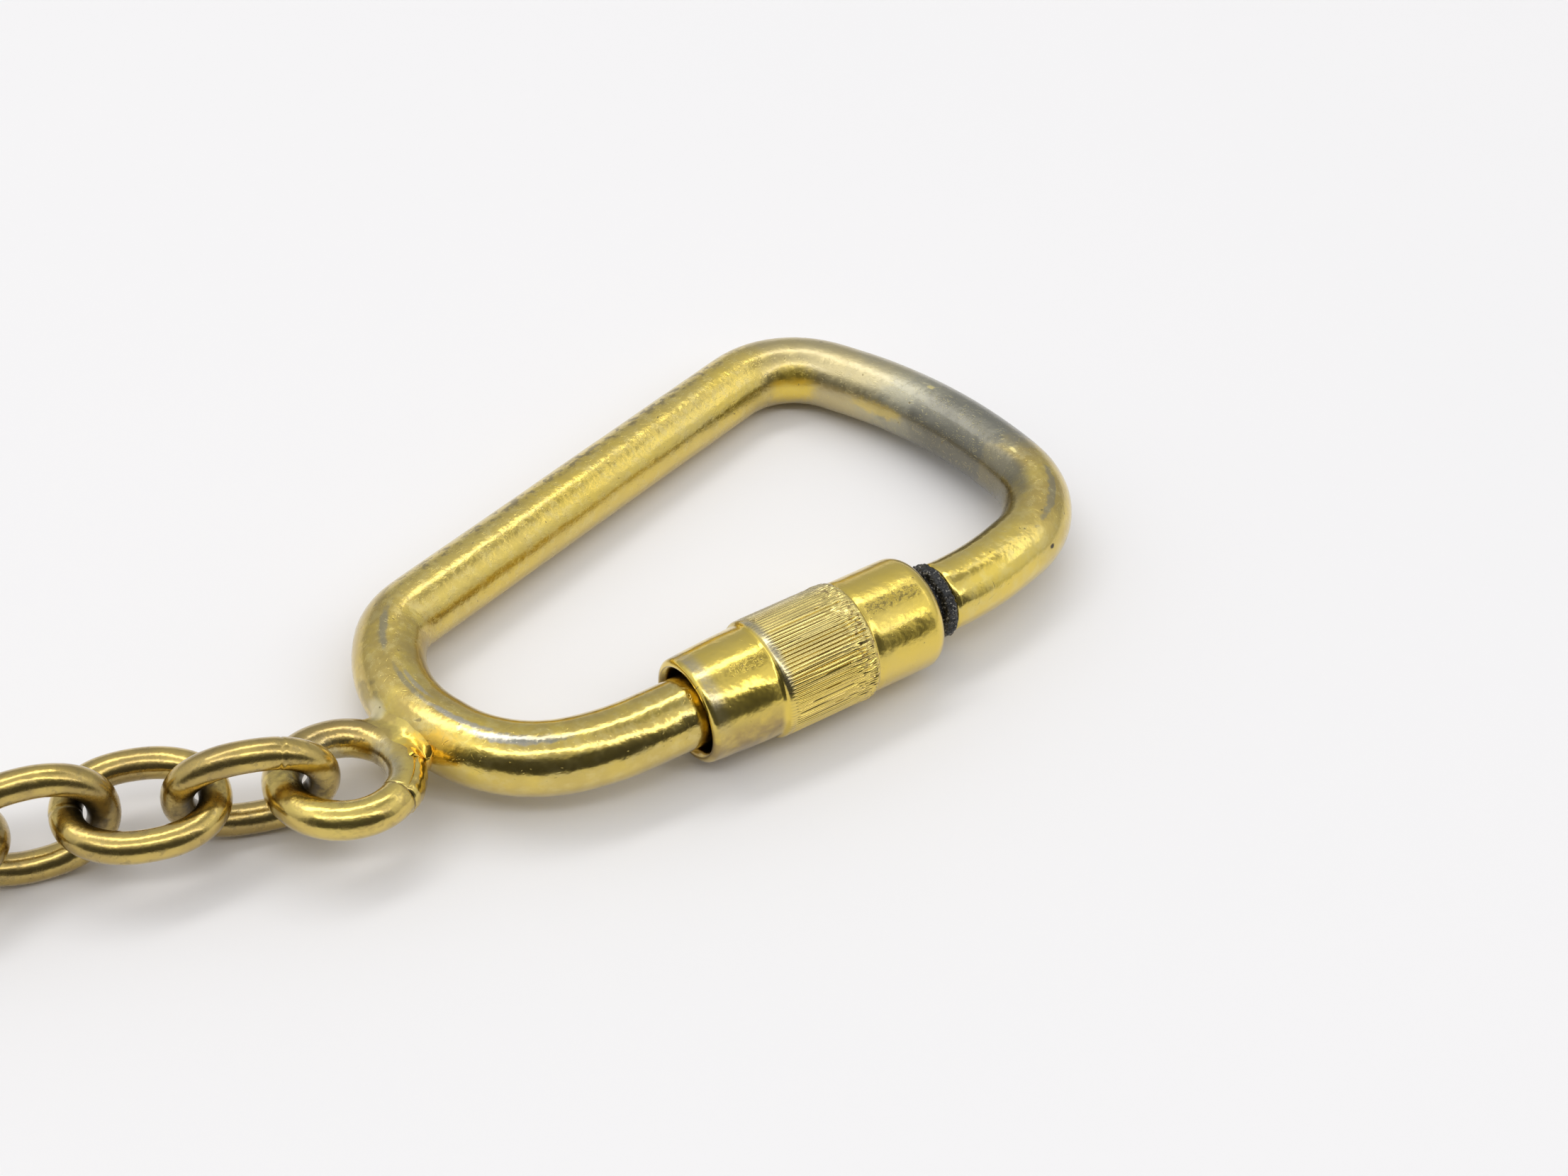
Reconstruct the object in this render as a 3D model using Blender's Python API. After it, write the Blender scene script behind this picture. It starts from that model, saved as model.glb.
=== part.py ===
"""Screw-gate key ring with the end of its chain.

A bow of round rod is closed by a knurled sleeve. The sleeve slides over the
left arm when it is unscrewed from the stub of the right arm. A wire eye is
brazed to the bow's small end, and a chain of oval links starts there. The ring
lies on a table: the knurl touches it on the near side, and the bow's top
corner on the far side.
"""

import math

import bmesh
import bpy
from mathutils import Matrix, Vector

MM = 0.001

# The bow's rod
ROD_DIAMETER = 4.0 * MM
ROD_SIDES = 24
BEND_STEP = math.radians(7.0)

# The bow's outline: its broad end reaches out from the right arm's shoulder,
# its small end from the sleeve's mouth, and both rise from the gate's axis
BROAD_REACH = 10.5 * MM
SMALL_REACH = 13.2 * MM
BOW_RISE = 21.8 * MM

# Corners of the bow's centre line before they are rounded, in order round the
# ring: shares of the reach, of the rise, and of the rise for the radius
BROAD_CORNER_SHARES = (
    (0.277, 0.0, 0.906),
    (1.0, 0.092, 0.232),
    (0.942, 0.562, 1.066),
    (0.358, 1.0, 0.246),
)
SMALL_CORNER_SHARES = (
    (0.780, 0.619, 0.169),
    (1.0, 0.411, 0.322),
    (0.770, 0.069, 0.336),
    (0.360, 0.0, 0.654),
)

# The knurled sleeve, from its mouth on the left arm to its rounded end
SLEEVE_LENGTH = 15.2 * MM
MOUTH_DIAMETER = 6.0 * MM
LEFT_COLLAR_DIAMETER = 6.4 * MM
LEFT_COLLAR_LENGTH = 4.5 * MM
KNURL_LENGTH = 5.9 * MM
KNURL_DIAMETER = 6.8 * MM
KNURL_DEPTH = 0.12 * MM
KNURL_CHAMFER = 0.2 * MM
KNURL_RIBS = 100
RIGHT_COLLAR_DIAMETER = 6.5 * MM
END_ROUND = 1.0 * MM
END_ROUND_STEPS = 4
LIP_ROUND = 0.35 * MM
LIP_ROUND_STEPS = 2
BORE_DIAMETER = 4.8 * MM
BORE_SIDES = 48
LIP_FLARE = 0.2 * MM

# The thread that holds the gate shut, as the plain size over its crests
THREAD_DIAMETER = 3.4 * MM
THREAD_LENGTH = 2.5 * MM
THREAD_CLEARANCE = 0.3 * MM
LEFT_THREAD_LENGTH = 2.7 * MM
TIP_CHAMFER = 0.3 * MM
SHOULDER_CHAMFER = 0.2 * MM
GATE_GAP = 2.7 * MM

# The black stop ring between the sleeve and the right arm's shoulder
STOP_RING_WIDTH = 1.0 * MM
STOP_RING_DIAMETER = 4.3 * MM
STOP_RING_NECK_DIAMETER = 4.0 * MM
STOP_RING_NECK_SHARE = 0.35
STOP_RING_ROUND = 0.15 * MM
STOP_RING_CLEARANCE = 0.2 * MM
STOP_RING_SIDES = 40
UNDERCUT_DIAMETER = 2.8 * MM

# The wire eye that is brazed to the small end
EYE_WIRE_DIAMETER = 2.05 * MM
EYE_MEAN_DIAMETER = 6.32 * MM
EYE_SINK = 0.5 * MM
EYE_LIFT = 0.3 * MM
EYE_SEAT_SHARE = 0.868
EYE_HEADING = math.radians(157.0)
EYE_LEAN = math.radians(10.7)
EYE_PLAY = 0.28 * MM
EYE_STEPS = 40
EYE_SIDES = 14
BRAZE_LENGTH = 4.2 * MM
BRAZE_DEPTH = 1.7 * MM
BRAZE_HEIGHT = 2.3 * MM
BRAZE_GAP = 0.3 * MM

# The chain: oval wire links, flat and on edge by turns
LINK_WIRE_DIAMETER = 1.7 * MM
LINK_MEAN_LENGTH = 7.4 * MM
LINK_MEAN_WIDTH = 5.36 * MM
LINK_SQUARENESS = 2.2
LINK_PLAY = 0.2 * MM
LINK_STEPS = 32
LINK_SIDES = 12

# How each link lies on the table: the way it points, and its plane's lean
# from flat; the links on edge stand on the table
LINK_POSES = (
    (math.radians(162.2), math.radians(88.0)),
    (math.radians(161.2), math.radians(2.0)),
    (math.radians(167.4), math.radians(102.2)),
    (math.radians(167.4), math.radians(12.0)),
    (math.radians(165.0), math.radians(100.0)),
)
ON_EDGE_LEAN = math.radians(45.0)

CUT_OVERRUN = 2.0 * MM
SHARP_ANGLE = math.radians(35.0)

ROD_RADIUS = ROD_DIAMETER / 2
SHOULDER_X = SLEEVE_LENGTH + STOP_RING_WIDTH + 2 * STOP_RING_CLEARANCE
THREAD_START_X = SLEEVE_LENGTH - THREAD_LENGTH
LEFT_TIP_X = THREAD_START_X - GATE_GAP
LEFT_SHOULDER_X = LEFT_TIP_X - LEFT_THREAD_LENGTH


def clear_scene():
    """Start from an empty file."""
    for old in list(bpy.data.objects):
        bpy.data.objects.remove(old, do_unlink=True)


# Materials


def metal(name, colour, roughness):
    """A polished metal."""
    made = bpy.data.materials.new(name)
    made.use_nodes = True
    shader = made.node_tree.nodes["Principled BSDF"]
    shader.inputs["Base Color"].default_value = (*colour, 1.0)
    shader.inputs["Roughness"].default_value = roughness
    shader.inputs["Metallic"].default_value = 1.0
    return made


def rubber(name, colour, roughness):
    """A dark moulded rubber."""
    made = metal(name, colour, roughness)
    made.node_tree.nodes["Principled BSDF"].inputs["Metallic"].default_value = 0.0
    return made


# Mesh helpers


def finished_object(name, bm, material, parent):
    """Turn a bmesh into a smooth-shaded object under its parent."""
    bmesh.ops.recalc_face_normals(bm, faces=bm.faces)
    mesh = bpy.data.meshes.new(name)
    bm.to_mesh(mesh)
    bm.free()
    mesh.shade_smooth()
    mesh.set_sharp_from_angle(angle=SHARP_ANGLE)
    if material:
        mesh.materials.append(material)
    made = bpy.data.objects.new(name, mesh)
    made.parent = parent
    bpy.context.collection.objects.link(made)
    return made


def bridge_rings(bm, first, second):
    """Join two rings of the same count with a band of quads."""
    count = len(first)
    for i in range(count):
        j = (i + 1) % count
        bm.faces.new((first[i], first[j], second[j], second[i]))


def section_ring(bm, centre, heading, across, radius, sides):
    """One round section square to its heading, with a flat facing each side."""
    upright = heading.cross(across)
    ring = []
    for i in range(sides):
        angle = 2 * math.pi * (i + 0.5) / sides
        offset = across * math.cos(angle) + upright * math.sin(angle)
        ring.append(bm.verts.new(centre + offset * radius))
    return ring


def turned_ring(bm, x, radius, sides, rib_depth=0.0):
    """One ring of vertices round the X axis; ribs leave every second one low."""
    ring = []
    for i in range(sides):
        angle = 2 * math.pi * (i + 0.5) / sides
        reach = radius - rib_depth * (i % 2)
        ring.append(bm.verts.new((x, reach * math.cos(angle), reach * math.sin(angle))))
    return ring


def capped_skin(rings, bm):
    """Skin a row of rings and close both ends."""
    for first, second in zip(rings, rings[1:]):
        bridge_rings(bm, first, second)
    bm.faces.new(rings[0])
    bm.faces.new(rings[-1])


def looped_skin(rings, bm):
    """Skin a closed loop of rings."""
    for first, second in zip(rings, rings[1:] + rings[:1]):
        bridge_rings(bm, first, second)


def wire_loop(route, radius, sides):
    """A closed wire along a flat route in the XY plane."""
    bm = bmesh.new()
    rings = []
    count = len(route)
    for i, centre in enumerate(route):
        heading = (route[(i + 1) % count] - route[i - 1]).normalized()
        across = heading.cross(Vector((0, 0, 1)))
        rings.append(section_ring(bm, centre, heading, across, radius, sides))
    looped_skin(rings, bm)
    return bm


def cutter_only(made):
    """Keep a cutter out of the finished part."""
    made.hide_render = True
    made.display_type = "WIRE"
    return made


def boolean(target, other, operation):
    """Join or cut with another object's shape."""
    step = target.modifiers.new(other.name, "BOOLEAN")
    step.operation = operation
    step.object = other


# The bow


def bow_corners():
    """Corners and radii of the centre line, from the right arm to the left."""
    corners = []
    for out, up, radius in BROAD_CORNER_SHARES:
        spot = Vector((SHOULDER_X + out * BROAD_REACH, up * BOW_RISE, 0))
        corners.append((spot, radius * BOW_RISE))
    for out, up, radius in SMALL_CORNER_SHARES:
        spot = Vector((-out * SMALL_REACH, up * BOW_RISE, 0))
        corners.append((spot, radius * BOW_RISE))
    return corners


def corner_arcs():
    """Each rounded corner's centre, radius, first angle and turn."""
    corners = bow_corners()
    spots = [Vector((SHOULDER_X, 0, 0))]
    spots += [spot for spot, radius in corners]
    spots.append(Vector((0, 0, 0)))
    legs = [b - a for a, b in zip(spots, spots[1:])]
    turns = [a.angle(b) for a, b in zip(legs, legs[1:])]
    reaches = [r * math.tan(t / 2) for (spot, r), t in zip(corners, turns)]
    arcs = []
    for i, (spot, radius) in enumerate(corners):
        room = 1.0
        for near, leg in ((i - 1, legs[i]), (i + 1, legs[i + 1])):
            beside = reaches[near] if 0 <= near < len(reaches) else 0.0
            room = min(room, leg.length / (reaches[i] + beside))
        heading = legs[i].normalized()
        inward = Vector((-heading.y, heading.x, 0))
        start = spot - heading * reaches[i] * room
        centre = start + inward * radius * room
        first = math.atan2(-inward.y, -inward.x)
        arcs.append((centre, radius * room, first, turns[i]))
    return arcs


def arc_point(arc, share):
    """A point of a rounded corner and the outward direction there."""
    centre, radius, first, turn = arc
    angle = first + turn * share
    outward = Vector((math.cos(angle), math.sin(angle), 0))
    return centre + outward * radius, outward


def bend_stations(grow):
    """Sections of the rod's bent part, thicker by grow for a cutter."""
    stations = []
    for arc in corner_arcs():
        steps = max(2, math.ceil(arc[3] / BEND_STEP))
        for k in range(steps + 1):
            point, outward = arc_point(arc, k / steps)
            stations.append((point, outward, ROD_RADIUS + grow))
    return stations


def stub_stations():
    """The right arm's turned stub: thread, undercut and shoulder."""
    thread = THREAD_DIAMETER / 2
    neck = UNDERCUT_DIAMETER / 2
    step = thread - neck
    neck_start = SLEEVE_LENGTH - STOP_RING_CLEARANCE
    profile = (
        (THREAD_START_X, thread - TIP_CHAMFER),
        (THREAD_START_X + TIP_CHAMFER, thread),
        (neck_start - step, thread),
        (neck_start, neck),
        (SHOULDER_X, neck),
        (SHOULDER_X, ROD_RADIUS - SHOULDER_CHAMFER),
        (SHOULDER_X + SHOULDER_CHAMFER, ROD_RADIUS),
    )
    return [(Vector((x, 0, 0)), Vector((0, -1, 0)), radius) for x, radius in profile]


def left_tip_stations():
    """The left arm's end inside the sleeve, turned down like the stub."""
    thread = THREAD_DIAMETER / 2
    profile = (
        (LEFT_SHOULDER_X - SHOULDER_CHAMFER, ROD_RADIUS),
        (LEFT_SHOULDER_X, ROD_RADIUS - SHOULDER_CHAMFER),
        (LEFT_SHOULDER_X, thread),
        (LEFT_TIP_X - TIP_CHAMFER, thread),
        (LEFT_TIP_X, thread - TIP_CHAMFER),
    )
    return [(Vector((x, 0, 0)), Vector((0, -1, 0)), radius) for x, radius in profile]


def rod(stations):
    """Skin a rod over its sections, which all lie in the ring's plane."""
    bm = bmesh.new()
    rings = []
    for centre, outward, radius in stations:
        heading = Vector((0, 0, 1)).cross(outward)
        rings.append(section_ring(bm, centre, heading, outward, radius, ROD_SIDES))
    capped_skin(rings, bm)
    return bm


def make_bow(plane, material):
    stations = stub_stations() + bend_stations(0.0) + left_tip_stations()
    return finished_object("bow", rod(stations), material, plane)


# The sleeve and its stop ring


def rounded_edge(x, radius, size, steps, towards):
    """Profile of a rounded outer edge, from its side to its end face."""
    profile = []
    for k in range(steps + 1):
        angle = math.pi / 2 * k / steps
        along = size * (1 - math.sin(angle))
        down = size * (1 - math.cos(angle))
        profile.append((x - towards * along, radius - down))
    return profile


def make_bore_cutter(plane):
    """Bore from the mouth, then the narrower threaded end."""
    wide = BORE_DIAMETER / 2
    narrow = THREAD_DIAMETER / 2 + THREAD_CLEARANCE
    profile = (
        (-CUT_OVERRUN, wide + LIP_FLARE + CUT_OVERRUN),
        (LIP_FLARE, wide),
        (THREAD_START_X, wide),
        (THREAD_START_X, narrow),
        (SLEEVE_LENGTH + CUT_OVERRUN, narrow),
    )
    bm = bmesh.new()
    capped_skin([turned_ring(bm, x, r, BORE_SIDES) for x, r in profile], bm)
    return cutter_only(finished_object("sleeve_bore", bm, None, plane))


def make_gate_sleeve(plane, material):
    """Turned outside with a knurled band, bored through."""
    sides = 2 * KNURL_RIBS
    knurl = KNURL_DIAMETER / 2
    knurl_end = LEFT_COLLAR_LENGTH + KNURL_LENGTH
    lip = rounded_edge(0.0, MOUTH_DIAMETER / 2, LIP_ROUND, LIP_ROUND_STEPS, -1)
    end = rounded_edge(
        SLEEVE_LENGTH, RIGHT_COLLAR_DIAMETER / 2, END_ROUND, END_ROUND_STEPS, 1
    )
    bm = bmesh.new()
    rings = [turned_ring(bm, x, r, sides) for x, r in reversed(lip)]
    rings.append(turned_ring(bm, LEFT_COLLAR_LENGTH, LEFT_COLLAR_DIAMETER / 2, sides))
    for x in (LEFT_COLLAR_LENGTH + KNURL_CHAMFER, knurl_end - KNURL_CHAMFER):
        rings.append(turned_ring(bm, x, knurl, sides, KNURL_DEPTH))
    rings.append(turned_ring(bm, knurl_end, RIGHT_COLLAR_DIAMETER / 2, sides))
    rings += [turned_ring(bm, x, r, sides) for x, r in end]
    capped_skin(rings, bm)
    made = finished_object("gate_sleeve", bm, material, plane)
    boolean(made, make_bore_cutter(plane), "DIFFERENCE")
    return made


def make_stop_ring(plane, material):
    """A moulded ring with a low neck towards the sleeve."""
    left = SLEEVE_LENGTH + STOP_RING_CLEARANCE
    right = left + STOP_RING_WIDTH
    neck_end = left + STOP_RING_WIDTH * STOP_RING_NECK_SHARE
    bore = UNDERCUT_DIAMETER / 2 + STOP_RING_CLEARANCE
    neck = STOP_RING_NECK_DIAMETER / 2
    crown = STOP_RING_DIAMETER / 2
    profile = (
        (left, bore),
        (left, neck - STOP_RING_ROUND),
        (left + STOP_RING_ROUND, neck),
        (neck_end, neck),
        (neck_end + STOP_RING_ROUND, crown),
        (right - STOP_RING_ROUND, crown),
        (right, crown - STOP_RING_ROUND),
        (right, bore),
    )
    bm = bmesh.new()
    rings = [turned_ring(bm, x, r, STOP_RING_SIDES) for x, r in profile]
    looped_skin(rings, bm)
    return finished_object("stop_ring", bm, material, plane)


# The eye and the chain


def flat_oval(length, width, squareness, steps):
    """Points round an oval, fuller than an ellipse when squareness tops 2."""
    points = []
    for k in range(steps):
        angle = 2 * math.pi * k / steps
        c, s = math.cos(angle), math.sin(angle)
        x = math.copysign(abs(c) ** (2 / squareness), c)
        y = math.copysign(abs(s) ** (2 / squareness), s)
        points.append(Vector((x * length / 2, y * width / 2, 0)))
    return points


def lying_frame(heading, lean):
    """Axes of a wire shape: X the way it points, Y its width, leaned from flat."""
    along = Vector((math.cos(heading), math.sin(heading), 0))
    side = Vector((-along.y, along.x, 0))
    width = side * math.cos(lean) + Vector((0, 0, 1)) * math.sin(lean)
    normal = along.cross(width)
    return Matrix((along, width, normal)).transposed()


def eye_centre(plane):
    """The eye's centre above the table, seated on the small end's corner."""
    arc = corner_arcs()[len(BROAD_CORNER_SHARES) + 1]
    seat, outward = arc_point(arc, EYE_SEAT_SHARE)
    reach = ROD_RADIUS + (EYE_MEAN_DIAMETER + EYE_WIRE_DIAMETER) / 2 - EYE_SINK
    return plane @ (seat + outward * reach) + Vector((0, 0, EYE_LIFT))


def make_rod_cutter(plane):
    """The bow's rod with the gap that its neighbours keep."""
    made = finished_object("rod_cutter", rod(bend_stations(BRAZE_GAP)), None, plane)
    return cutter_only(made)


def make_braze_form(plane):
    """Braze metal that fills the notch between the eye and the rod."""
    arc = corner_arcs()[len(BROAD_CORNER_SHARES) + 1]
    seat, outward = arc_point(arc, EYE_SEAT_SHARE)
    bm = bmesh.new()
    bmesh.ops.create_uvsphere(bm, u_segments=20, v_segments=12, radius=0.5)
    bmesh.ops.scale(bm, vec=(BRAZE_DEPTH, BRAZE_LENGTH, BRAZE_HEIGHT), verts=bm.verts)
    made = finished_object("braze_form", bm, None, plane)
    made.location = seat + outward * ROD_RADIUS + Vector((0, 0, EYE_LIFT))
    made.rotation_euler.z = math.atan2(outward.y, outward.x)
    return cutter_only(made)


def make_chain_eye(stand, plane, material):
    """A wire ring coped to the rod, with its braze."""
    route = flat_oval(EYE_MEAN_DIAMETER, EYE_MEAN_DIAMETER, 2.0, EYE_STEPS)
    bm = wire_loop(route, EYE_WIRE_DIAMETER / 2, EYE_SIDES)
    made = finished_object("chain_eye", bm, material, stand)
    turn = lying_frame(EYE_HEADING, EYE_LEAN)
    centre = eye_centre(plane.matrix_local)
    made.matrix_local = Matrix.Translation(centre) @ turn.to_4x4()
    boolean(made, make_braze_form(plane), "UNION")
    boolean(made, make_rod_cutter(plane), "DIFFERENCE")
    return made


def make_links(stand, plane, material):
    """Each link has its origin on the wire that it swings on."""
    wire = LINK_WIRE_DIAMETER / 2
    half = LINK_MEAN_LENGTH / 2
    pivot = eye_centre(plane.matrix_local)
    pivot += lying_frame(EYE_HEADING, EYE_LEAN).col[0] * EYE_MEAN_DIAMETER / 2
    reach = half - wire - EYE_WIRE_DIAMETER / 2 - EYE_PLAY
    links = []
    for number, (heading, lean) in enumerate(LINK_POSES, start=1):
        turn = lying_frame(heading, lean)
        centre = pivot + turn.col[0] * reach
        if abs(math.sin(lean)) > math.sin(ON_EDGE_LEAN):
            centre.z = LINK_MEAN_WIDTH / 2 * math.sin(lean) + wire
        offset = turn.transposed() @ (centre - pivot)
        route = flat_oval(
            LINK_MEAN_LENGTH, LINK_MEAN_WIDTH, LINK_SQUARENESS, LINK_STEPS
        )
        bm = wire_loop([point + offset for point in route], wire, LINK_SIDES)
        made = finished_object(f"chain_link_{number}", bm, material, stand)
        made.matrix_local = Matrix.Translation(pivot) @ turn.to_4x4()
        pivot = centre + turn.col[0] * half
        reach = half - 2 * wire - LINK_PLAY
        links.append(made)
    return links


# The whole part


def make_plane(stand):
    """The ring's plane: the knurl and the bow's far side both touch the table."""
    knurl = KNURL_DIAMETER / 2
    rise = max(point.y for point, outward, radius in bend_stations(0.0))
    lean = math.asin((knurl - ROD_RADIUS) / rise)
    plane = bpy.data.objects.new("ring_plane", None)
    plane.parent = stand
    plane.location.z = knurl
    plane.rotation_euler.x = -lean
    bpy.context.collection.objects.link(plane)
    bpy.context.view_layer.update()
    return plane


def centre_on_origin(stand, pieces):
    """Put the middle of the part's footprint on the origin, table at zero."""
    bpy.context.view_layer.update()
    graph = bpy.context.evaluated_depsgraph_get()
    points = []
    for piece in pieces:
        seen = piece.evaluated_get(graph)
        points += [seen.matrix_world @ vert.co for vert in seen.data.vertices]
    low = Vector([min(p[i] for p in points) for i in range(3)])
    high = Vector([max(p[i] for p in points) for i in range(3)])
    stand.location.x -= (low.x + high.x) / 2
    stand.location.y -= (low.y + high.y) / 2
    stand.location.z -= low.z


def main():
    clear_scene()
    gold = metal("gold_plate", (0.83, 0.58, 0.17), 0.16)
    worn_gold = metal("worn_gold_plate", (0.72, 0.52, 0.22), 0.22)
    antique = metal("antique_gold", (0.58, 0.42, 0.22), 0.24)
    black = rubber("black_rubber", (0.02, 0.02, 0.02), 0.35)
    stand = bpy.data.objects.new("stand", None)
    bpy.context.collection.objects.link(stand)
    plane = make_plane(stand)
    pieces = [
        make_bow(plane, gold),
        make_gate_sleeve(plane, gold),
        make_stop_ring(plane, black),
        make_chain_eye(stand, plane, worn_gold),
    ]
    pieces += make_links(stand, plane, antique)
    centre_on_origin(stand, pieces)


main()
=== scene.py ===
"""The screw-gate key ring and its chain, dressed for the photograph's view.

The bow, sleeve, stop ring, eye and links are rebuilt over the fixed parts with
finer surfaces, and each gets its own worn gold, antique gold or rubber finish.
"""

import math

import bmesh
import bpy
from mathutils import Matrix, Vector, noise


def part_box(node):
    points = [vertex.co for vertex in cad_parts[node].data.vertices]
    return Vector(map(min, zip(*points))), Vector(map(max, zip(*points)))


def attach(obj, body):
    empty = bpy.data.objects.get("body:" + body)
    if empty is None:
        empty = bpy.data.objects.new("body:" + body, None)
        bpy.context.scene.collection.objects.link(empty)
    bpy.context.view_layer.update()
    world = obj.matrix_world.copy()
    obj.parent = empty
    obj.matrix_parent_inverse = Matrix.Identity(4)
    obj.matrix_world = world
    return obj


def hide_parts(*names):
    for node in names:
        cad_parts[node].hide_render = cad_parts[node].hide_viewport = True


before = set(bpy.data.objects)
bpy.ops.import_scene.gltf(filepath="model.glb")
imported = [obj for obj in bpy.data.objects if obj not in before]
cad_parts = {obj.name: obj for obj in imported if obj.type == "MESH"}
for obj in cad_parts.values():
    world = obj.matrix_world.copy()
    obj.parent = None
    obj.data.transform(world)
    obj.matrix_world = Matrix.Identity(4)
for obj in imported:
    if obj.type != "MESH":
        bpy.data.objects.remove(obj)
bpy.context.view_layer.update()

MM = 0.001

# Sizes, most of them shared with the fixed parts
ROD_RADIUS = 2.0 * MM
BROAD_REACH = 10.5 * MM
SMALL_REACH = 13.2 * MM
BOW_RISE = 21.8 * MM
BROAD_CORNER_SHARES = (
    (0.277, 0.0, 0.906),
    (1.0, 0.092, 0.232),
    (0.942, 0.562, 1.066),
    (0.358, 1.0, 0.246),
)
SMALL_CORNER_SHARES = (
    (0.780, 0.619, 0.169),
    (1.0, 0.411, 0.322),
    (0.770, 0.069, 0.336),
    (0.360, 0.0, 0.654),
)
SLEEVE_LENGTH = 15.2 * MM
MOUTH_RADIUS = 3.0 * MM
LEFT_COLLAR_RADIUS = 3.2 * MM
LEFT_COLLAR_LENGTH = 4.5 * MM
KNURL_LENGTH = 5.9 * MM
KNURL_RADIUS = 3.4 * MM
KNURL_RIBS = 100
KNURL_RIM = 0.3 * MM
KNURL_DEPTH = 0.065 * MM
KNURL_TEAR = 0.07 * MM
KNURL_WHOLE_SHARE = 0.62
RIGHT_COLLAR_RADIUS = 3.25 * MM
END_ROUND = 1.0 * MM
LIP_ROUND = 0.35 * MM
BORE_RADIUS = 2.4 * MM
THREAD_BORE_RADIUS = 2.0 * MM
THREAD_RADIUS = 1.7 * MM
THREAD_LENGTH = 2.5 * MM
THREAD_PITCH = 0.5 * MM
LEFT_THREAD_LENGTH = 2.7 * MM
UNDERCUT_RADIUS = 1.4 * MM
GATE_GAP = 2.7 * MM
STOP_RING_WIDTH = 1.0 * MM
STOP_RING_CLEARANCE = 0.2 * MM
EYE_WIRE_RADIUS = 1.025 * MM
EYE_MEAN_RADIUS = 3.16 * MM
EYE_SINK = 0.5 * MM
EYE_LIFT = 0.3 * MM
EYE_SEAT_SHARE = 0.868
EYE_HEADING = math.radians(157.0)
EYE_LEAN = math.radians(10.7)
EYE_PLAY = 0.28 * MM
EYE_SEAM_RUN = 8.0 * MM
EYE_HEAP_LENGTH = 4.6 * MM
EYE_CREASE = math.radians(58)
BRAZE_RIDGE = ((-4.72, -4.5, 5.1), (-4.46, -5.9, 4.5))
LINK_WIRE_RADIUS = 0.85 * MM
LINK_HALF_LENGTH = 3.7 * MM
LINK_HALF_WIDTH = 2.68 * MM
LINK_SQUARENESS = 2.2
LINK_PLAY = 0.2 * MM
LINK_SEAM_RUN = 6.7 * MM
LINK_POSES = (
    (math.radians(162.2), math.radians(88.0)),
    (math.radians(161.2), math.radians(2.0)),
    (math.radians(167.4), math.radians(102.2)),
    (math.radians(167.4), math.radians(12.0)),
    (math.radians(165.0), math.radians(100.0)),
)

SHOULDER_X = SLEEVE_LENGTH + STOP_RING_WIDTH + 2 * STOP_RING_CLEARANCE
THREAD_START_X = SLEEVE_LENGTH - THREAD_LENGTH
LEFT_TIP_X = THREAD_START_X - GATE_GAP
LEFT_SHOULDER_X = LEFT_TIP_X - LEFT_THREAD_LENGTH
KNURL_END_X = LEFT_COLLAR_LENGTH + KNURL_LENGTH

# The photograph's view: where the camera stands from the sleeve's mouth, its
# axes and its focal length
CAMERA_FROM_MOUTH = Vector((-54.581, -72.263, 110.988)) * MM
CAMERA_RIGHT = Vector((0.82760, -0.55344, 0.09369))
CAMERA_UP = Vector((0.36240, 0.65429, 0.66375))
PHOTO_WIDTH_PX = 2212
FOCAL_PX = 3800
SENSOR_WIDTH_MM = 36.0

# Colours: metals, then rubber and table
GOLD = (0.78, 0.58, 0.10, 1)
GREEN_GOLD = (0.70, 0.54, 0.135, 1)
DULL_GOLD = (0.54, 0.40, 0.11, 1)
# Pale gold, also used as painted sheen on the knurl's upper side
PALE_GOLD_AND_SHEEN = (0.78, 0.66, 0.28, 1)
WORN_BRASS = (0.54, 0.45, 0.23, 1)
BARE_GREY = (0.44, 0.415, 0.305, 1)
SLATE_GREY = (0.26, 0.25, 0.20, 1)
# Painted shade on the inner side of the worn broad end
SHADED_SLATE = (0.15, 0.14, 0.105, 1)
STEEL_GREY = (0.44, 0.42, 0.36, 1)
TARNISH_BROWN = (0.22, 0.17, 0.07, 1)
BRAZE_ORANGE = (0.84, 0.50, 0.04, 1)
SOLDER_CREAM = (0.70, 0.61, 0.34, 1)
ANTIQUE_GOLD = (0.62, 0.455, 0.12, 1)
# Antique brown tone, also used as painted shade in the knurl's grooves and on the links' inner
# sides
ANTIQUE_BROWN_AND_SHADE = (0.33, 0.23, 0.08, 1)
# Dark grime, also used as painted shade where parts touch
GRIME_AND_SHADE = (0.045, 0.03, 0.015, 1)
RUBBER_BLACK = (0.003, 0.003, 0.003, 1)
RUBBER_DUSTY = (0.010, 0.0095, 0.009, 1)
# Pale flecks on the rubber crown, partly flaking and partly painted glints
RUBBER_FLAKE_GLINT = (0.30, 0.28, 0.24, 1)
TABLE_WHITE = (0.95, 0.925, 0.915, 1)
TABLE_SHADE = (0.94, 0.92, 0.91, 1)

LACQUER_SHARE = 0.5
LACQUER_ROUGHNESS = 0.12

# The length of wire that one unit of the meshes' stored run stands for
UV_SPAN = 100 * MM


# Shapes


def grain(point, size, seed=0.0):
    """Smooth noise from about -1 to 1, with features of the given size."""
    return noise.noise(point / size + Vector((seed,) * 3))


def finished(name, bm, material, body, place=Matrix()):
    """A smooth-shaded piece in its place, riding on its body."""
    bmesh.ops.transform(bm, matrix=place, verts=bm.verts)
    bmesh.ops.recalc_face_normals(bm, faces=bm.faces)
    mesh = bpy.data.meshes.new(name)
    bm.to_mesh(mesh)
    bm.free()
    mesh.shade_smooth()
    mesh.set_sharp_from_angle(angle=math.radians(50))
    mesh.materials.append(material)
    piece = bpy.data.objects.new(name, mesh)
    bpy.context.collection.objects.link(piece)
    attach(piece, body)
    return piece


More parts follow.
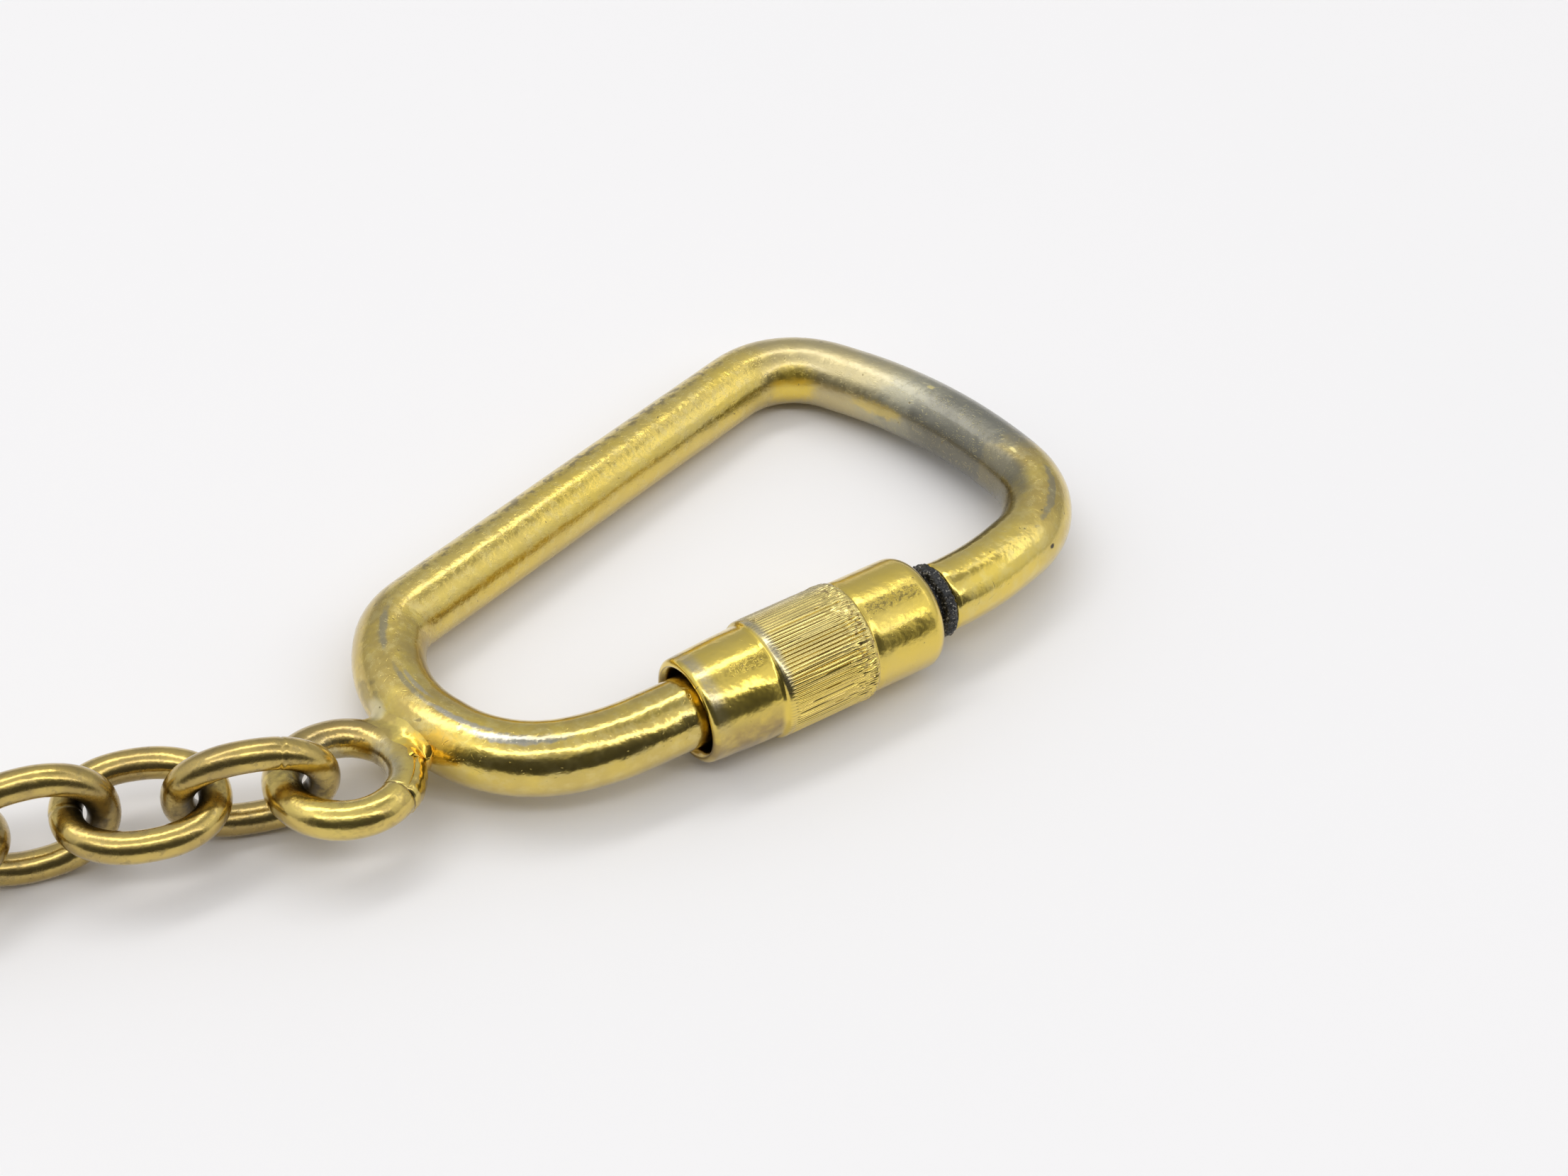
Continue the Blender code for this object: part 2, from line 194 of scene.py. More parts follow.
def skin(bm, rings, runs, closed):
    """Quads between rings of vertices, with the run along and the turn around as UVs."""
    layer = bm.loops.layers.uv.verify()
    count = len(rings[0])
    pairs = list(zip(range(len(rings)), range(1, len(rings))))
    if closed:
        pairs.append((len(rings) - 1, 0))
    for a, b in pairs:
        ends = (runs[a], runs[b] if b else runs[-1] + (runs[1] - runs[0]))
        for i in range(count):
            j = (i + 1) % count
            face = bm.faces.new((rings[a][i], rings[a][j], rings[b][j], rings[b][i]))
            spots = ((0, i), (0, i + 1), (1, i + 1), (1, i))
            for loop, (end, turn) in zip(face.loops, spots):
                loop[layer].uv = (ends[end] / UV_SPAN, turn / count)


def section(bm, centre, outward, upright, radius, sides, shape=None):
    """One round section: turn 0 looks outward, a quarter turn looks up."""
    ring = []
    for i in range(sides):
        angle = 2 * math.pi * i / sides
        ray = outward * math.cos(angle) + upright * math.sin(angle)
        reach = radius + (shape(centre + ray * radius, angle) if shape else 0.0)
        ring.append(bm.verts.new(centre + ray * reach))
    return ring


def lathe(rows, sides, shape):
    """A closed turned form about the gate's axis, from its profile's places and radii."""
    bm = bmesh.new()
    rings = []
    for x, radius in rows:
        ring = []
        for i in range(sides):
            angle = 2 * math.pi * i / sides
            ray = Vector((0, -math.cos(angle), math.sin(angle)))
            ring.append(bm.verts.new(shape(x, radius, i / sides, ray)))
        rings.append(ring)
    skin(bm, rings, [x for x, radius in rows], closed=False)
    for i in range(sides):
        j = (i + 1) % sides
        bm.faces.new((rings[-1][i], rings[-1][j], rings[0][j], rings[0][i]))
    return bm


# The bow's centre line, as in the fixed part


def bow_arcs():
    """Each rounded corner's centre, radius, first angle and turn."""
    corners = []
    for out, up, radius in BROAD_CORNER_SHARES:
        spot = Vector((SHOULDER_X + out * BROAD_REACH, up * BOW_RISE, 0))
        corners.append((spot, radius * BOW_RISE))
    for out, up, radius in SMALL_CORNER_SHARES:
        corners.append((Vector((-out * SMALL_REACH, up * BOW_RISE, 0)), radius * BOW_RISE))
    spots = [Vector((SHOULDER_X, 0, 0))] + [c[0] for c in corners] + [Vector((0, 0, 0))]
    legs = [b - a for a, b in zip(spots, spots[1:])]
    turns = [a.angle(b) for a, b in zip(legs, legs[1:])]
    reaches = [r * math.tan(t / 2) for (spot, r), t in zip(corners, turns)]
    arcs = []
    for i, (spot, radius) in enumerate(corners):
        room = 1.0
        for near, leg in ((i - 1, legs[i]), (i + 1, legs[i + 1])):
            beside = reaches[near] if 0 <= near < len(reaches) else 0.0
            room = min(room, leg.length / (reaches[i] + beside))
        heading = legs[i].normalized()
        inward = Vector((-heading.y, heading.x, 0))
        centre = spot - heading * reaches[i] * room + inward * radius * room
        arcs.append((centre, radius * room, math.atan2(-inward.y, -inward.x), turns[i]))
    return arcs


def arc_point(arc, share):
    """A point on an arc and its outward direction."""
    centre, radius, first, turn = arc
    outward = Vector((math.cos(first + turn * share), math.sin(first + turn * share), 0))
    return centre + outward * radius, outward


def bow_route(step):
    """Points and outward directions along the bent rod, about a step apart."""
    route = [(Vector((SHOULDER_X, 0, 0)), Vector((0, -1, 0)))]
    for arc in bow_arcs():
        steps = max(2, math.ceil(arc[1] * arc[3] / step))
        for k in range(steps + 1):
            spot = arc_point(arc, k / steps)
            gap = (spot[0] - route[-1][0]).length
            if gap < step / 10:
                continue
            fill = int(gap / step)
            last = route[-1]
            for f in range(1, fill + 1):
                share = f / (fill + 1)
                way = last[1].lerp(spot[1], share).normalized()
                route.append((last[0].lerp(spot[0], share), way))
            route.append(spot)
    return route


BOW_ROUTE = bow_route(0.5 * MM)
FAR_RISE = max(spot.y for spot, outward in BOW_ROUTE)
RING_LEAN = math.asin((KNURL_RADIUS - ROD_RADIUS) / FAR_RISE)
SLEEVE_LOW, SLEEVE_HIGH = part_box("gate_sleeve")
MOUTH = Vector((SLEEVE_LOW.x, (SLEEVE_LOW.y + SLEEVE_HIGH.y) / 2, KNURL_RADIUS))
RING_PLANE = Matrix.Translation(MOUTH) @ Matrix.Rotation(-RING_LEAN, 4, "X")


def on_rod(x, y, z):
    """A surface point of the ring in the unbent rod's space: run, out and up, in mm."""
    point = RING_PLANE.inverted() @ (Vector((x, y, z)) * MM)
    run, nearest = 0.0, None
    last = BOW_ROUTE[0][0]
    for spot, outward in BOW_ROUTE:
        run += (spot - last).length
        last = spot
        gap = (point - spot).length
        if nearest is None or gap < nearest[0]:
            nearest = (gap, run, spot, outward)
    gap, run, spot, outward = nearest
    out, up = (point - spot).dot(outward), point.z
    size = math.hypot(out, up)
    return (run / MM, out / size * ROD_RADIUS / MM, up / size * ROD_RADIUS / MM)


def thread_wave(x, start):
    """Depth of a V thread at a place along the axis."""
    return abs(((x - start) / THREAD_PITCH) % 1.0 - 0.5) * 2


def threaded(start, end, step):
    """Stations along a male thread."""
    rows = []
    x = start
    while x < end:
        rows.append((x, THREAD_RADIUS - 0.22 * MM * thread_wave(x, start)))
        x += step
    return rows


def make_bow(material):
    """The bent rod with its turned ends, a little uneven as a hand-bent rod is."""
    step = THREAD_PITCH / 4
    stub = threaded(THREAD_START_X, SLEEVE_LENGTH - 0.3 * MM, step)
    stub += [
        (SLEEVE_LENGTH - 0.2 * MM, UNDERCUT_RADIUS),
        (SHOULDER_X, UNDERCUT_RADIUS),
        (SHOULDER_X, ROD_RADIUS - 0.15 * MM),
        (SHOULDER_X + 0.05 * MM, ROD_RADIUS - 0.06 * MM),
        (SHOULDER_X + 0.15 * MM, ROD_RADIUS),
    ]
    tip = []
    x = BOW_ROUTE[-1][0].x
    while x < LEFT_SHOULDER_X - 0.7 * MM:
        x += 0.5 * MM
        tip.append((x, ROD_RADIUS))
    tip += [
        (LEFT_SHOULDER_X - 0.2 * MM, ROD_RADIUS),
        (LEFT_SHOULDER_X, ROD_RADIUS - 0.2 * MM),
        (LEFT_SHOULDER_X, THREAD_RADIUS - 0.2 * MM),
    ]
    tip += threaded(LEFT_SHOULDER_X + step, LEFT_TIP_X, step)
    gate_side = Vector((0, -1, 0))
    stations = [(Vector((x, 0, 0)), gate_side, radius) for x, radius in stub]
    stations += [(spot, outward, ROD_RADIUS) for spot, outward in BOW_ROUTE[1:]]
    stations += [(Vector((x, 0, 0)), gate_side, radius) for x, radius in tip]

    def uneven(point, angle):
        return 0.02 * MM * grain(point, 5 * MM) + 0.006 * MM * grain(point, 1.3 * MM, 7)

    bm = bmesh.new()
    rings, runs = [], []
    run = THREAD_START_X - SHOULDER_X
    last = stations[0][0]
    for centre, outward, radius in stations:
        run += (centre - last).length
        last = centre
        shape = uneven if radius == ROD_RADIUS else None
        rings.append(section(bm, centre, outward, Vector((0, 0, 1)), radius, 56, shape))
        runs.append(run)
    skin(bm, rings, runs, closed=False)
    bm.faces.new(rings[0])
    bm.faces.new(rings[-1])
    piece = finished("bow_rod", bm, material, "ring", RING_PLANE)
    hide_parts("bow")


# The sleeve


def sleeve_profile():
    """Outer profile from the mouth to the rounded end: place and radius."""
    rows = []
    for k in range(6, -1, -1):
        angle = math.pi / 2 * k / 6
        drop = LIP_ROUND * (1 - math.cos(angle))
        rows.append((LIP_ROUND * (1 - math.sin(angle)), MOUTH_RADIUS - drop))
    rows += [
        (1.0 * MM, MOUTH_RADIUS + 0.05 * MM),
        (1.8 * MM, LEFT_COLLAR_RADIUS - 0.10 * MM),
        (2.6 * MM, LEFT_COLLAR_RADIUS - 0.06 * MM),
        (3.4 * MM, LEFT_COLLAR_RADIUS - 0.03 * MM),
        (LEFT_COLLAR_LENGTH - 0.3 * MM, LEFT_COLLAR_RADIUS),
        (LEFT_COLLAR_LENGTH - 0.12 * MM, LEFT_COLLAR_RADIUS - 0.03 * MM),
        (LEFT_COLLAR_LENGTH - 0.02 * MM, LEFT_COLLAR_RADIUS + 0.04 * MM),
        (LEFT_COLLAR_LENGTH + 0.02 * MM, KNURL_RADIUS - 0.07 * MM),
        (LEFT_COLLAR_LENGTH + 0.10 * MM, KNURL_RADIUS - 0.02 * MM),
    ]
    start = LEFT_COLLAR_LENGTH + 0.18 * MM
    for k in range(41):
        rows.append((start + (KNURL_LENGTH - 0.4 * MM) * k / 40, KNURL_RADIUS))
    rows += [
        (KNURL_END_X - 0.10 * MM, KNURL_RADIUS - 0.05 * MM),
        (KNURL_END_X - 0.02 * MM, RIGHT_COLLAR_RADIUS - 0.03 * MM),
        (KNURL_END_X + 0.08 * MM, RIGHT_COLLAR_RADIUS - 0.05 * MM),
        (KNURL_END_X + 0.22 * MM, RIGHT_COLLAR_RADIUS),
    ]
    for k in range(1, 7):
        along = KNURL_END_X + (SLEEVE_LENGTH - END_ROUND - KNURL_END_X) * k / 7
        rows.append((along, RIGHT_COLLAR_RADIUS))
    for k in range(13):
        angle = math.pi / 2 * k / 12
        along = SLEEVE_LENGTH - END_ROUND * (1 - math.sin(angle))
        rows.append((along, RIGHT_COLLAR_RADIUS - END_ROUND * (1 - math.cos(angle))))
    return rows


def bore_profile():
    """Inner profile from the threaded end back to the mouth."""
    rows = [(SLEEVE_LENGTH, THREAD_BORE_RADIUS + 0.12 * MM)]
    x = SLEEVE_LENGTH - 0.1 * MM
    while x > THREAD_START_X:
        cut = 0.18 * MM * thread_wave(x, THREAD_START_X)
        rows.append((x, THREAD_BORE_RADIUS + cut))
        x -= THREAD_PITCH / 4
    rows.append((THREAD_START_X, BORE_RADIUS))
    rows.append((0.5 * MM, BORE_RADIUS))
    rows.append((0.15 * MM, BORE_RADIUS + 0.06 * MM))
    rows.append((0.03 * MM, BORE_RADIUS + 0.2 * MM))
    return rows


def knurl_cut(x, turn):
    """How far a groove goes in at a turn: straight and fine, torn towards the far side."""
    start = LEFT_COLLAR_LENGTH + KNURL_RIM
    end = KNURL_END_X - KNURL_RIM / 2
    if not start < x < end:
        return 0.0
    fade = min(1.0, (x - start) / (0.25 * MM), (end - x) / (0.10 * MM))
    far = max(0.0, (x - start) / (end - start) - KNURL_WHOLE_SHARE) / (1 - KNURL_WHOLE_SHARE)
    wander = 0.7 * far * far * noise.noise(Vector((turn * 45, x / (0.9 * MM), 3)))
    rib, place = divmod(turn * KNURL_RIBS + wander, 1.0)
    across = place * 2 - 1
    depth = 1 + 1.1 * noise.noise(Vector((rib * 1.7, x / (5 * MM), 0)))
    lean = 0.03 * MM * noise.noise(Vector((rib * 2.3, x / (3 * MM), 7))) * across
    torn = far * KNURL_TEAR * noise.noise(Vector((turn * 110, x / (0.45 * MM), 11)))
    return torn + fade * (lean - KNURL_DEPTH * depth * across**4)


def make_sleeve(material):
    """Turned collars, fine knurl and a bore with its thread."""

    def turned(x, radius, turn, ray):
        centre = Vector((x, 0, 0))
        reach = radius
        if radius > BORE_RADIUS + 0.3 * MM:
            reach += knurl_cut(x, turn)
            reach += 0.008 * MM * grain(centre + ray * radius, 2.5 * MM, 3)
        return centre + ray * reach

    bm = lathe(sleeve_profile() + bore_profile(), KNURL_RIBS * 8, turned)
    piece = finished("sleeve_shell", bm, material, "sleeve", RING_PLANE)
    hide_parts("gate_sleeve")


def make_stop_ring(material):
    """A perished ring: a low smooth neck, then a rough crown."""
    left = SLEEVE_LENGTH + 0.03 * MM
    width = SHOULDER_X - 0.02 * MM - left
    neck = 1.88 * MM
    crown = 2.13 * MM
    bore = UNDERCUT_RADIUS + 0.02 * MM
    rows = [(0.0, bore), (0.0, neck - 0.12 * MM), (0.06, neck)]
    rows += [(0.12, neck + 0.02 * MM), (0.22, neck - 0.02 * MM), (0.33, neck - 0.06 * MM)]
    rows += [(0.40, neck - 0.09 * MM), (0.46, crown - 0.1 * MM), (0.52, crown)]
    rows += [(0.62, crown + 0.02 * MM), (0.72, crown - 0.05 * MM), (0.80, crown + 0.01 * MM)]
    rows += [(0.88, crown), (0.95, crown - 0.06 * MM), (1.0, crown - 0.2 * MM), (1.0, bore)]

    def perished(x, radius, turn, ray):
        point = Vector((x, 0, 0)) + ray * radius
        if radius > bore:
            share = (x - left) / width
            rough = 0.09 * MM if share > 0.42 else 0.012 * MM
            point += ray * rough * (grain(point, 0.22 * MM, 5) + grain(point, 0.6 * MM, 9))
            if 0.2 < share < 0.9:
                point.x += 0.06 * MM * grain(ray * 2 * MM, 0.9 * MM, 4)
        return point

    bm = lathe([(left + width * share, radius) for share, radius in rows], 160, perished)
    piece = finished("stop_ring_rubber", bm, material, "ring", RING_PLANE)
    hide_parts("stop_ring")


# The eye and the chain


def lying_frame(heading, lean):
    """Axes of a wire shape: X the way it points, Y its width, leaned from flat."""
    along = Vector((math.cos(heading), math.sin(heading), 0))
    side = Vector((-along.y, along.x, 0))
    width = side * math.cos(lean) + Vector((0, 0, 1)) * math.sin(lean)
    return Matrix((along, width, along.cross(width))).transposed()


def oval_route(half_length, half_width, squareness, steps):
    """Points round an oval; a squareness of 2 is an ellipse."""
    points = []
    for k in range(steps):
        angle = 2 * math.pi * k / steps
        c, s = math.cos(angle), math.sin(angle)
        x = math.copysign(abs(c) ** (2 / squareness), c)
        y = math.copysign(abs(s) ** (2 / squareness), s)
        points.append(Vector((x * half_length, y * half_width, 0)))
    return points


def wire_oval(route, radius, sides, seam_at, shape):
    """A closed wire with a butt seam: a fine groove across it."""
    bm = bmesh.new()
    up = Vector((0, 0, 1))
    rings, runs = [], []
    run = 0.0
    count = len(route)
    for k, centre in enumerate(route):
        heading = (route[(k + 1) % count] - route[k - 1]).normalized()
        run += (centre - route[k - 1]).length if k else 0.0
        seam = max(0.0, 1 - abs(run - seam_at) / (0.07 * MM))
        outward = heading.cross(up)
        rings.append(section(bm, centre, outward, up, radius * (1 - 0.06 * seam), sides, shape))
        runs.append(run)
    skin(bm, rings, runs, closed=True)
    return bm


def eye_seat():
    """Where the eye stands on the bow's centre line, and the way outward there."""
    return arc_point(bow_arcs()[len(BROAD_CORNER_SHARES) + 1], EYE_SEAT_SHARE)


def eye_place():
    """The eye's centre and turn, outward from its seat on the bow's small end."""
    seat, outward = eye_seat()
    reach = ROD_RADIUS + EYE_MEAN_RADIUS + EYE_WIRE_RADIUS - EYE_SINK
    centre = RING_PLANE @ (seat + outward * reach) + Vector((0, 0, EYE_LIFT))
    return centre, lying_frame(EYE_HEADING, EYE_LEAN)


def make_eye(material):
    """The eye's wire, with its open seam and the metal heaped beside the braze."""
    centre, turn = eye_place()
    route = oval_route(EYE_MEAN_RADIUS, EYE_MEAN_RADIUS, 2.0, 420)

    def uneven(point, angle):
        swell = 0.02 * MM * grain(point, 2.2 * MM, 21) + 0.006 * MM * grain(point, 0.7 * MM, 22)
        run = (math.atan2(point.y, point.x) % (2 * math.pi)) * EYE_MEAN_RADIUS
        past = (run - EYE_SEAM_RUN) / MM
        left = EYE_HEAP_LENGTH / MM - past
        if past <= 0 or left <= 0:
            return swell
        side = (angle + math.pi) % (2 * math.pi) - math.pi
        heap = min(1.0, past / 0.3) * min(1.0, left / 1.5)
        swell += 0.025 * MM * heap * max(0.0, 1 - past / 1.5)
        if side < EYE_CREASE:
            fall = min(1.0, (side + math.pi) / 1.2)
            swell += fall * heap * (0.06 + 0.05 * grain(point, 0.45 * MM, 23)) * MM
        swell -= 0.10 * MM * heap * max(0.0, 1 - abs(side - EYE_CREASE) / 0.10)
        burr = math.hypot((past - 0.15) / 0.22, (side + 0.9) / 0.3)
        return swell + 0.10 * MM * max(0.0, 1 - burr)

    bm = wire_oval(route, EYE_WIRE_RADIUS, 72, EYE_SEAM_RUN, uneven)
    place = Matrix.Translation(centre) @ turn.to_4x4()
    piece = finished("eye_wire", bm, material, "ring", place)
    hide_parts("chain_eye")


def make_braze(material):
    """The braze filling the corner between the eye and the bow, lumpy at its edges."""
    eye_centre, eye_turn = eye_place()
    to_eye = (eye_turn.to_4x4().inverted() @ Matrix.Translation(-eye_centre)).to_3x3()
    seat = RING_PLANE @ eye_seat()[0]
    middle = seat + (eye_centre - seat).normalized() * (ROD_RADIUS - EYE_SINK / 2)
    middle.z += 0.2 * MM
    rod = [RING_PLANE @ spot for spot, outward in BOW_ROUTE]
    rod = [spot for spot in rod if (spot - middle).length < 6 * MM]

    def rod_gap(point):
        best = None
        for a, b in zip(rod, rod[1:]):
            leg = b - a
            share = min(1.0, max(0.0, (point - a).dot(leg) / leg.length_squared))
            gap = (point - a - leg * share).length
            best = gap if best is None else min(best, gap)
        return best - ROD_RADIUS

    def eye_gap(point):
        near = to_eye @ (point - eye_centre)
        flat = math.hypot(near.x, near.y) - EYE_MEAN_RADIUS
        return math.hypot(flat, near.z) - EYE_WIRE_RADIUS

    first, last = (Vector(end) * MM for end in BRAZE_RIDGE)
    ridge = last - first

    def outside(point):
        a, b = rod_gap(point), eye_gap(point)
        blend = (1.0 + 0.2 * grain(point, 0.9 * MM, 31)) * MM
        meet = max(blend - abs(a - b), 0.0) / blend
        share = min(1.0, max(0.0, (point - first).dot(ridge) / ridge.length_squared))
        heap = max(0.0, 1 - (point - first - ridge * share).length / (0.6 * MM))
        heap *= 0.16 + 0.30 * grain(point, 0.38 * MM, 33)
        return min(a, b) - meet * meet * blend / 4 + 0.02 * MM - heap * MM

    bm = bmesh.new()
    bmesh.ops.create_icosphere(bm, subdivisions=6, radius=1.0)
    step = 0.12 * MM
    reach = 2.3 * MM
    for vert in bm.verts:
        ray = vert.co.normalized()
        near, far = 0.0, step
        while far < reach and outside(middle + ray * far) < 0:
            near, far = far, far + step
        if far >= reach:
            vert.co = middle + ray * reach
            continue
        for _ in range(5):
            half = (near + far) / 2
            if outside(middle + ray * half) < 0:
                near = half
            else:
                far = half
        vert.co = middle + ray * (near + far) / 2
    piece = finished("eye_braze", bm, material, "ring")
    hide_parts("chain_eye")


def chain_places():
    """Each link's centre, turn and the contact with the wire before it."""
    centre, turn = eye_place()
    pivot = centre + turn.col[0] * EYE_MEAN_RADIUS
    held, play = EYE_WIRE_RADIUS, EYE_PLAY
    places = []
    for heading, lean in LINK_POSES:
        turn = lying_frame(heading, lean)
        contact = pivot - turn.col[0] * (held + play / 2)
        centre = pivot + turn.col[0] * (LINK_HALF_LENGTH - LINK_WIRE_RADIUS - held - play)
        if abs(math.sin(lean)) > 0.7:
            centre.z = LINK_HALF_WIDTH * math.sin(lean) + LINK_WIRE_RADIUS
        places.append((centre, turn, contact))
        pivot = centre + turn.col[0] * LINK_HALF_LENGTH
        held, play = LINK_WIRE_RADIUS, LINK_PLAY
    return places


def make_links(material):
    """Five oval wire links, at the fixed parts' places; the first shows its seam."""
    route = oval_route(LINK_HALF_LENGTH, LINK_HALF_WIDTH, LINK_SQUARENESS, 220)
    for number, (centre, turn, contact) in enumerate(chain_places(), start=1):

        def uneven(point, angle, seed=number * 13):
            return 0.018 * MM * grain(point, 1.8 * MM, seed)

        seam = LINK_SEAM_RUN if number == 1 else 0.0
        bm = wire_oval(route, LINK_WIRE_RADIUS, 40, seam, uneven)
        place = Matrix.Translation(centre) @ turn.to_4x4()
        name, body = f"link_wire_{number}", f"link_{number}"
        piece = finished(name, bm, material, body, place)
        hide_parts(f"chain_link_{number}")


# Node wiring


def fill(tree, made, inputs):
    """A node's sockets linked or set."""
    for key, value in inputs.items():
        if isinstance(value, bpy.types.NodeSocket):
            tree.links.new(value, made.inputs[key])
        else:
            made.inputs[key].default_value = value


def add(tree, kind, inputs=None, **settings):
    """A node with its settings made and its sockets filled."""
    made = tree.nodes.new("ShaderNode" + kind)
    for key, value in settings.items():
        setattr(made, key, value)
    fill(tree, made, inputs or {})
    return made


def calc(tree, operation, a, b=0.0):
    """A sum on numbers."""
    return add(tree, "Math", {0: a, 1: b}, operation=operation).outputs[0]


def vector_calc(tree, operation, a, b=(0, 0, 0)):
    """A sum on places or directions, whose answer may be a number."""
    made = add(tree, "VectorMath", {0: a, 1: b}, operation=operation)
    return made.outputs["Value" if operation in ("LENGTH", "DOT_PRODUCT") else "Vector"]


def plain_noise(tree, where, scale, detail):
    """Smooth noise round a half."""
    inputs = {"Vector": where, "Scale": scale, "Detail": detail}
    return add(tree, "TexNoise", inputs).outputs["Fac"]


def away(tree, value, middle):
    """How far a value is from a middle one, either way."""
    return calc(tree, "ABSOLUTE", calc(tree, "SUBTRACT", value, middle))


def both(tree, *masks):
    """Where every mask is on."""
    result = masks[0]
    for mask in masks[1:]:
        result = calc(tree, "MULTIPLY", result, mask)
    return result


def either(tree, *masks):
    """Where any mask is on."""
    result = masks[0]
    for mask in masks[1:]:
        result = calc(tree, "MAXIMUM", result, mask)
    return result


def total(tree, start, *parts):
    """A starting value and masks added to it, each with its weight."""
    result = start
    for mask, weight in parts:
        result = calc(tree, "ADD", calc(tree, "MULTIPLY", mask, weight), result)
    return result


def tint(tree, mask, under, over, strength=1.0):
    """One colour laid over another through a mask, in part or in full."""
    mask = calc(tree, "MULTIPLY", mask, strength)
    return add(tree, "Mix", {0: mask, 6: under, 7: over}, data_type="RGBA").outputs[2]


def rise(tree, value, low, high):
    """0 at low, 1 at high, smooth between; falls instead when low is the larger."""
    given = {"Value": value, "From Min": low, "From Max": high}
    made = add(tree, "MapRange", given, interpolation_type="SMOOTHSTEP")
    return made.outputs["Result"]


def between(tree, value, low, full, ending, high):
    """On from full to ending, off below low and above high."""
    return both(tree, rise(tree, value, low, full), rise(tree, value, high, ending))


def effect(name, sockets, result):
    """An empty shared effect: its tree, its named inputs and its one answer."""
    tree = bpy.data.node_groups.new(name, "ShaderNodeTree")
    for label in sockets:
        kind = "NodeSocketVector" if label in ("Where", "Centre", "Slant") else "NodeSocketFloat"
        tree.interface.new_socket(name=label, in_out="INPUT", socket_type=kind)
    tree.interface.new_socket(name=result, in_out="OUTPUT", socket_type="NodeSocketFloat")
    given = tree.nodes.new("NodeGroupInput").outputs
    answer = tree.nodes.new("NodeGroupOutput").inputs[0]
    return tree, given, answer


def lay(tree, shared, **values):
    """A shared effect placed in a material with its own values."""
    made = add(tree, "Group", node_tree=shared)
    fill(tree, made, values)
    return made.outputs[0]


def make_cloud():
    """Cloudy patches with soft or ragged borders."""
    sockets = ("Where", "Scale", "Level", "Softness")
    tree, given, answer = effect("cloudy_patches", sockets, "Mask")
    inputs = {"Vector": given["Where"], "Scale": given["Scale"], "Detail": 5.0, "Roughness": 0.6}
    value = add(tree, "TexNoise", inputs).outputs["Fac"]
    low = calc(tree, "SUBTRACT", given["Level"], given["Softness"])
    high = calc(tree, "ADD", given["Level"], given["Softness"])
    tree.links.new(rise(tree, value, low, high), answer)
    return tree


def make_nicks():
    """Short marks scattered at one slant: nicks when long, pits when round."""
    sockets = ("Where", "Slant", "Length", "Width", "Chance")
    tree, given, answer = effect("scattered_nicks", sockets, "Mask")
    bend = add(tree, "TexNoise", {"Vector": given["Where"], "Scale": 0.9, "Detail": 1.0})
    bent = vector_calc(tree, "ADD", bend.outputs["Color"], given["Where"])
    inputs = {"Vector": bent, "Rotation": given["Slant"]}
    turned = add(tree, "VectorRotate", inputs, rotation_type="EULER_XYZ").outputs[0]
    size = add(tree, "CombineXYZ", {0: given["Length"], 1: given["Width"], 2: given["Width"]})
    cells = vector_calc(tree, "DIVIDE", turned, size.outputs[0])
    points = add(tree, "TexVoronoi", {"Vector": cells, "Scale": 1.0})
    near = rise(tree, points.outputs["Distance"], 0.42, 0.16)
    pick = add(tree, "SeparateColor", {0: points.outputs["Color"]}).outputs[0]
    tree.links.new(both(tree, near, calc(tree, "LESS_THAN", pick, given["Chance"])), answer)
    return tree


def make_mark():
    """One mark at a given place, drawn out along the metal and ragged at its border."""
    sockets = ("Where", "Centre", "Radius", "Drawn", "Ragged")
    tree, given, answer = effect("placed_mark", sockets, "Mask")
    offset = vector_calc(tree, "SUBTRACT", given["Where"], given["Centre"])
    shape = add(tree, "CombineXYZ", {0: given["Drawn"], 1: 1.0, 2: 1.0})
    offset = vector_calc(tree, "DIVIDE", offset, shape.outputs[0])
    share = calc(tree, "DIVIDE", vector_calc(tree, "LENGTH", offset), given["Radius"])
    edge = calc(tree, "SUBTRACT", plain_noise(tree, given["Where"], 2.2, 4.0), 0.5)
    swing = both(tree, edge, given["Ragged"])
    tree.links.new(rise(tree, total(tree, share, (swing, 3.0)), 1.35, 0.55), answer)
    return tree


def make_ripple():
    """The faint unevenness of plated wire: low waves with finer ones on them."""
    tree, given, answer = effect("uneven_plate", ("Where", "Scale", "Fine"), "Height")
    broad = plain_noise(tree, given["Where"], given["Scale"], 2.0)
    small = plain_noise(tree, given["Where"], calc(tree, "MULTIPLY", given["Scale"], 4.5), 2.0)
    tree.links.new(total(tree, broad, (small, given["Fine"])), answer)
    return tree


CLOUD = make_cloud()
NICKS = make_nicks()
MARK = make_mark()
RIPPLE = make_ripple()


def blank(name, metallic=1.0):
    """A material, its tree and its one shader; metal has a thin clear lacquer."""
    made = bpy.data.materials.new(name)
    made.use_nodes = True
    shader = made.node_tree.nodes["Principled BSDF"]
    shader.inputs["Metallic"].default_value = metallic
    shader.inputs["Coat Weight"].default_value = LACQUER_SHARE * metallic
    shader.inputs["Coat Roughness"].default_value = LACQUER_ROUGHNESS
    return made, made.node_tree, shader


def dress(tree, shader, colour, rough, height):
    """The shader's colour, roughness and relief, its height in mm."""
    tree.links.new(colour, shader.inputs["Base Color"])
    tree.links.new(rough, shader.inputs["Roughness"])
    bump = add(tree, "Bump", {"Height": height, "Distance": MM})
    tree.links.new(bump.outputs[0], shader.inputs["Normal"])


def unrolled(tree):
    """Where a point lies along its wire and round it, as stored in the mesh."""
    parts = add(tree, "SeparateXYZ", {0: add(tree, "UVMap").outputs[0]})
    return parts.outputs["X"], parts.outputs["Y"]


